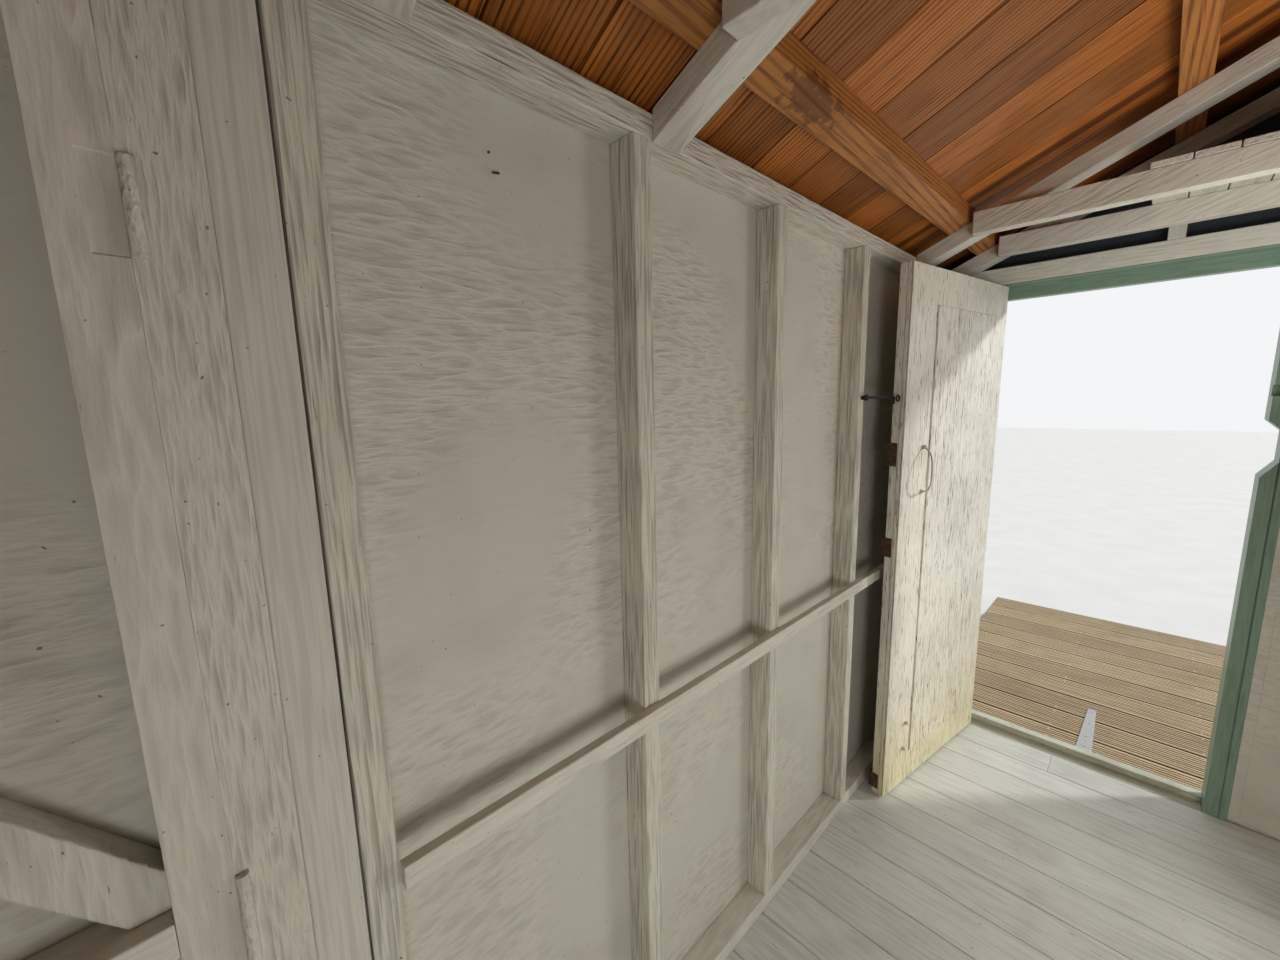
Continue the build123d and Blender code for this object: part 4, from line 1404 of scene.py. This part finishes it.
@dataclass
class Studio:
    """The pale floor, the soft lights and the camera at the photograph's viewpoint."""

    eye: Point = (0.274, 1.7475, 1.677)
    yaw: float = 45.93
    pitch: float = 8.80
    roll: float = 1.19
    lens: float = 14.099
    sensor: float = 36.0
    clip: tuple[float, float] = (0.02, 200.0)
    lamps: tuple[Lamp, ...] = (
        Lamp("room_lamp", (-0.62, 1.9, 0.85), (0.6, -0.8, 1.2), 0.6, 12.5),
        Lamp("front_lamp", (-0.5, -0.35, 0.95), (0.9, 1.9, 1.1), 0.5, 7.0),
        Lamp("ridge_lamp", (-0.1, -0.1, 1.8), (0.3, -0.5, 3.0), 0.7, 3.4),
    )
    sun_way: Point = (0.676, 0.676, -0.40)
    sun_strength: float = 2.5
    sun_spread: float = 6.0
    floor_reach: float = 30.0
    floor_drop: float = 0.001
    sky: Colour = (0.97, 0.98, 1.0, 1.0)
    sky_light: float = 0.72
    sky_seen: float = 0.93

    def camera(self) -> None:
        """Sets the scene's camera."""
        yaw, pitch, roll = (math.radians(a) for a in (self.yaw, self.pitch, self.roll))
        ahead = Vector((math.sin(yaw) * math.cos(pitch), -math.cos(yaw) * math.cos(pitch), -math.sin(pitch)))
        right = ahead.cross(Vector((0, 0, 1))).normalized()
        down = ahead.cross(right)
        right_rolled = math.cos(roll) * right + math.sin(roll) * down
        down_rolled = -math.sin(roll) * right + math.cos(roll) * down
        data = bpy.data.cameras.new("camera")
        data.sensor_width = self.sensor
        data.lens = self.lens
        data.clip_start, data.clip_end = self.clip
        camera = add_object("camera", data)
        turn = Matrix((right_rolled, -down_rolled, -ahead)).transposed().to_4x4()
        camera.matrix_world = Matrix.Translation(self.eye) @ turn
        bpy.context.scene.camera = camera

    def sun(self) -> None:
        """Soft light from far off, through the doorway."""
        data = bpy.data.lights.new("door_light", "SUN")
        data.energy = self.sun_strength
        data.angle = math.radians(self.sun_spread)
        add_object("door_light", data).matrix_world = aim(Vector(self.sun_way))

    def floor(self) -> None:
        """The pale studio floor."""
        mesh = bmesh.new()
        level = Matrix.Translation((0, 0, -self.floor_drop))
        bmesh.ops.create_grid(mesh, x_segments=2, y_segments=2, size=self.floor_reach, matrix=level)
        data = bpy.data.meshes.new("studio_floor")
        mesh.to_mesh(data)
        mesh.free()
        plane = add_object("studio_floor", data)
        surface = start_surface("studio_floor")
        graph, shader = surface.graph, surface.shader
        speck = graph.fade(graph.noise(surface.place, 3.0, 2.0), 0.3, 0.7)
        graph.feed(shader, "Base Color", graph.tint(linear("e9e8e6"), "e4e3e0", speck))
        shader.inputs["Roughness"].default_value = 0.9
        data.materials.append(surface.material)

    def world(self) -> None:
        """A pale world that lights softly and shows nearly white."""
        world = bpy.data.worlds.new("studio")
        bpy.context.scene.world = world
        world.use_nodes = True
        graph = Graph(world.node_tree)
        back = world.node_tree.nodes["Background"]
        rays = graph.add("ShaderNodeLightPath").outputs
        seen = graph.math("MAXIMUM", rays["Is Camera Ray"], rays["Is Glossy Ray"])
        seen = graph.math("MAXIMUM", seen, rays["Is Transmission Ray"])
        back.inputs["Color"].default_value = self.sky
        graph.feed(back, "Strength", graph.fade(seen, 0.0, 1.0, self.sky_light, self.sky_seen))

    def build(self) -> None:
        """Sets the whole studio."""
        self.world()
        self.floor()
        self.camera()
        self.sun()
        for lamp in self.lamps:
            lamp.build()
        bpy.context.scene.view_settings.view_transform = "Standard"


def log_piece(piece: Object) -> None:
    """Logs a piece that has been built."""
    LOG.info("%s: %d faces", piece.name, len(piece.data.polygons))


def build_hut() -> None:
    """Builds and dresses the hut's own pieces."""
    log_piece(FloorBoards().build())
    for slope in RoofBoards().build():
        log_piece(slope)
    log_piece(LoftBoards().build())
    walls = [
        Cladding("left_wall", Facing.LEFT, Finish.LINING, Finish.BOARDING),
        Cladding("right_wall", Facing.RIGHT, Finish.LINING, Finish.BOARDING),
        Cladding("back_wall", Facing.BACK, Finish.LINING_ACROSS, Finish.END_BOARDING, True),
        Cladding("front_gable", Facing.FRONT, Finish.GABLE_INSIDE_SHADE, Finish.END_BOARDING, True),
    ]
    for node in ("front_skirt_board", "front_wall_left", "front_pier", "window_apron", "front_wall_right"):
        walls.append(Cladding(node, Facing.FRONT, Finish.LINING_ACROSS, Finish.END_BOARDING))
    for wall in walls:
        log_piece(wall.build())
    framing = Framing()
    framing.dress()
    LOG.info("framing dressed, with %s", framing.old_nails().name)


def main() -> None:
    """Builds every sub-assembly and the studio, and notes the sizes."""
    logging.basicConfig(level=logging.INFO, format="%(name)s: %(message)s")
    build_hut()
    for piece in DeckFlap().build():
        log_piece(piece)
    door = FrontDoor()
    door.dress()
    LOG.info("door dressed, with %s", door.rope().name)
    Studio().build()


if __name__ == "__main__":
    main()
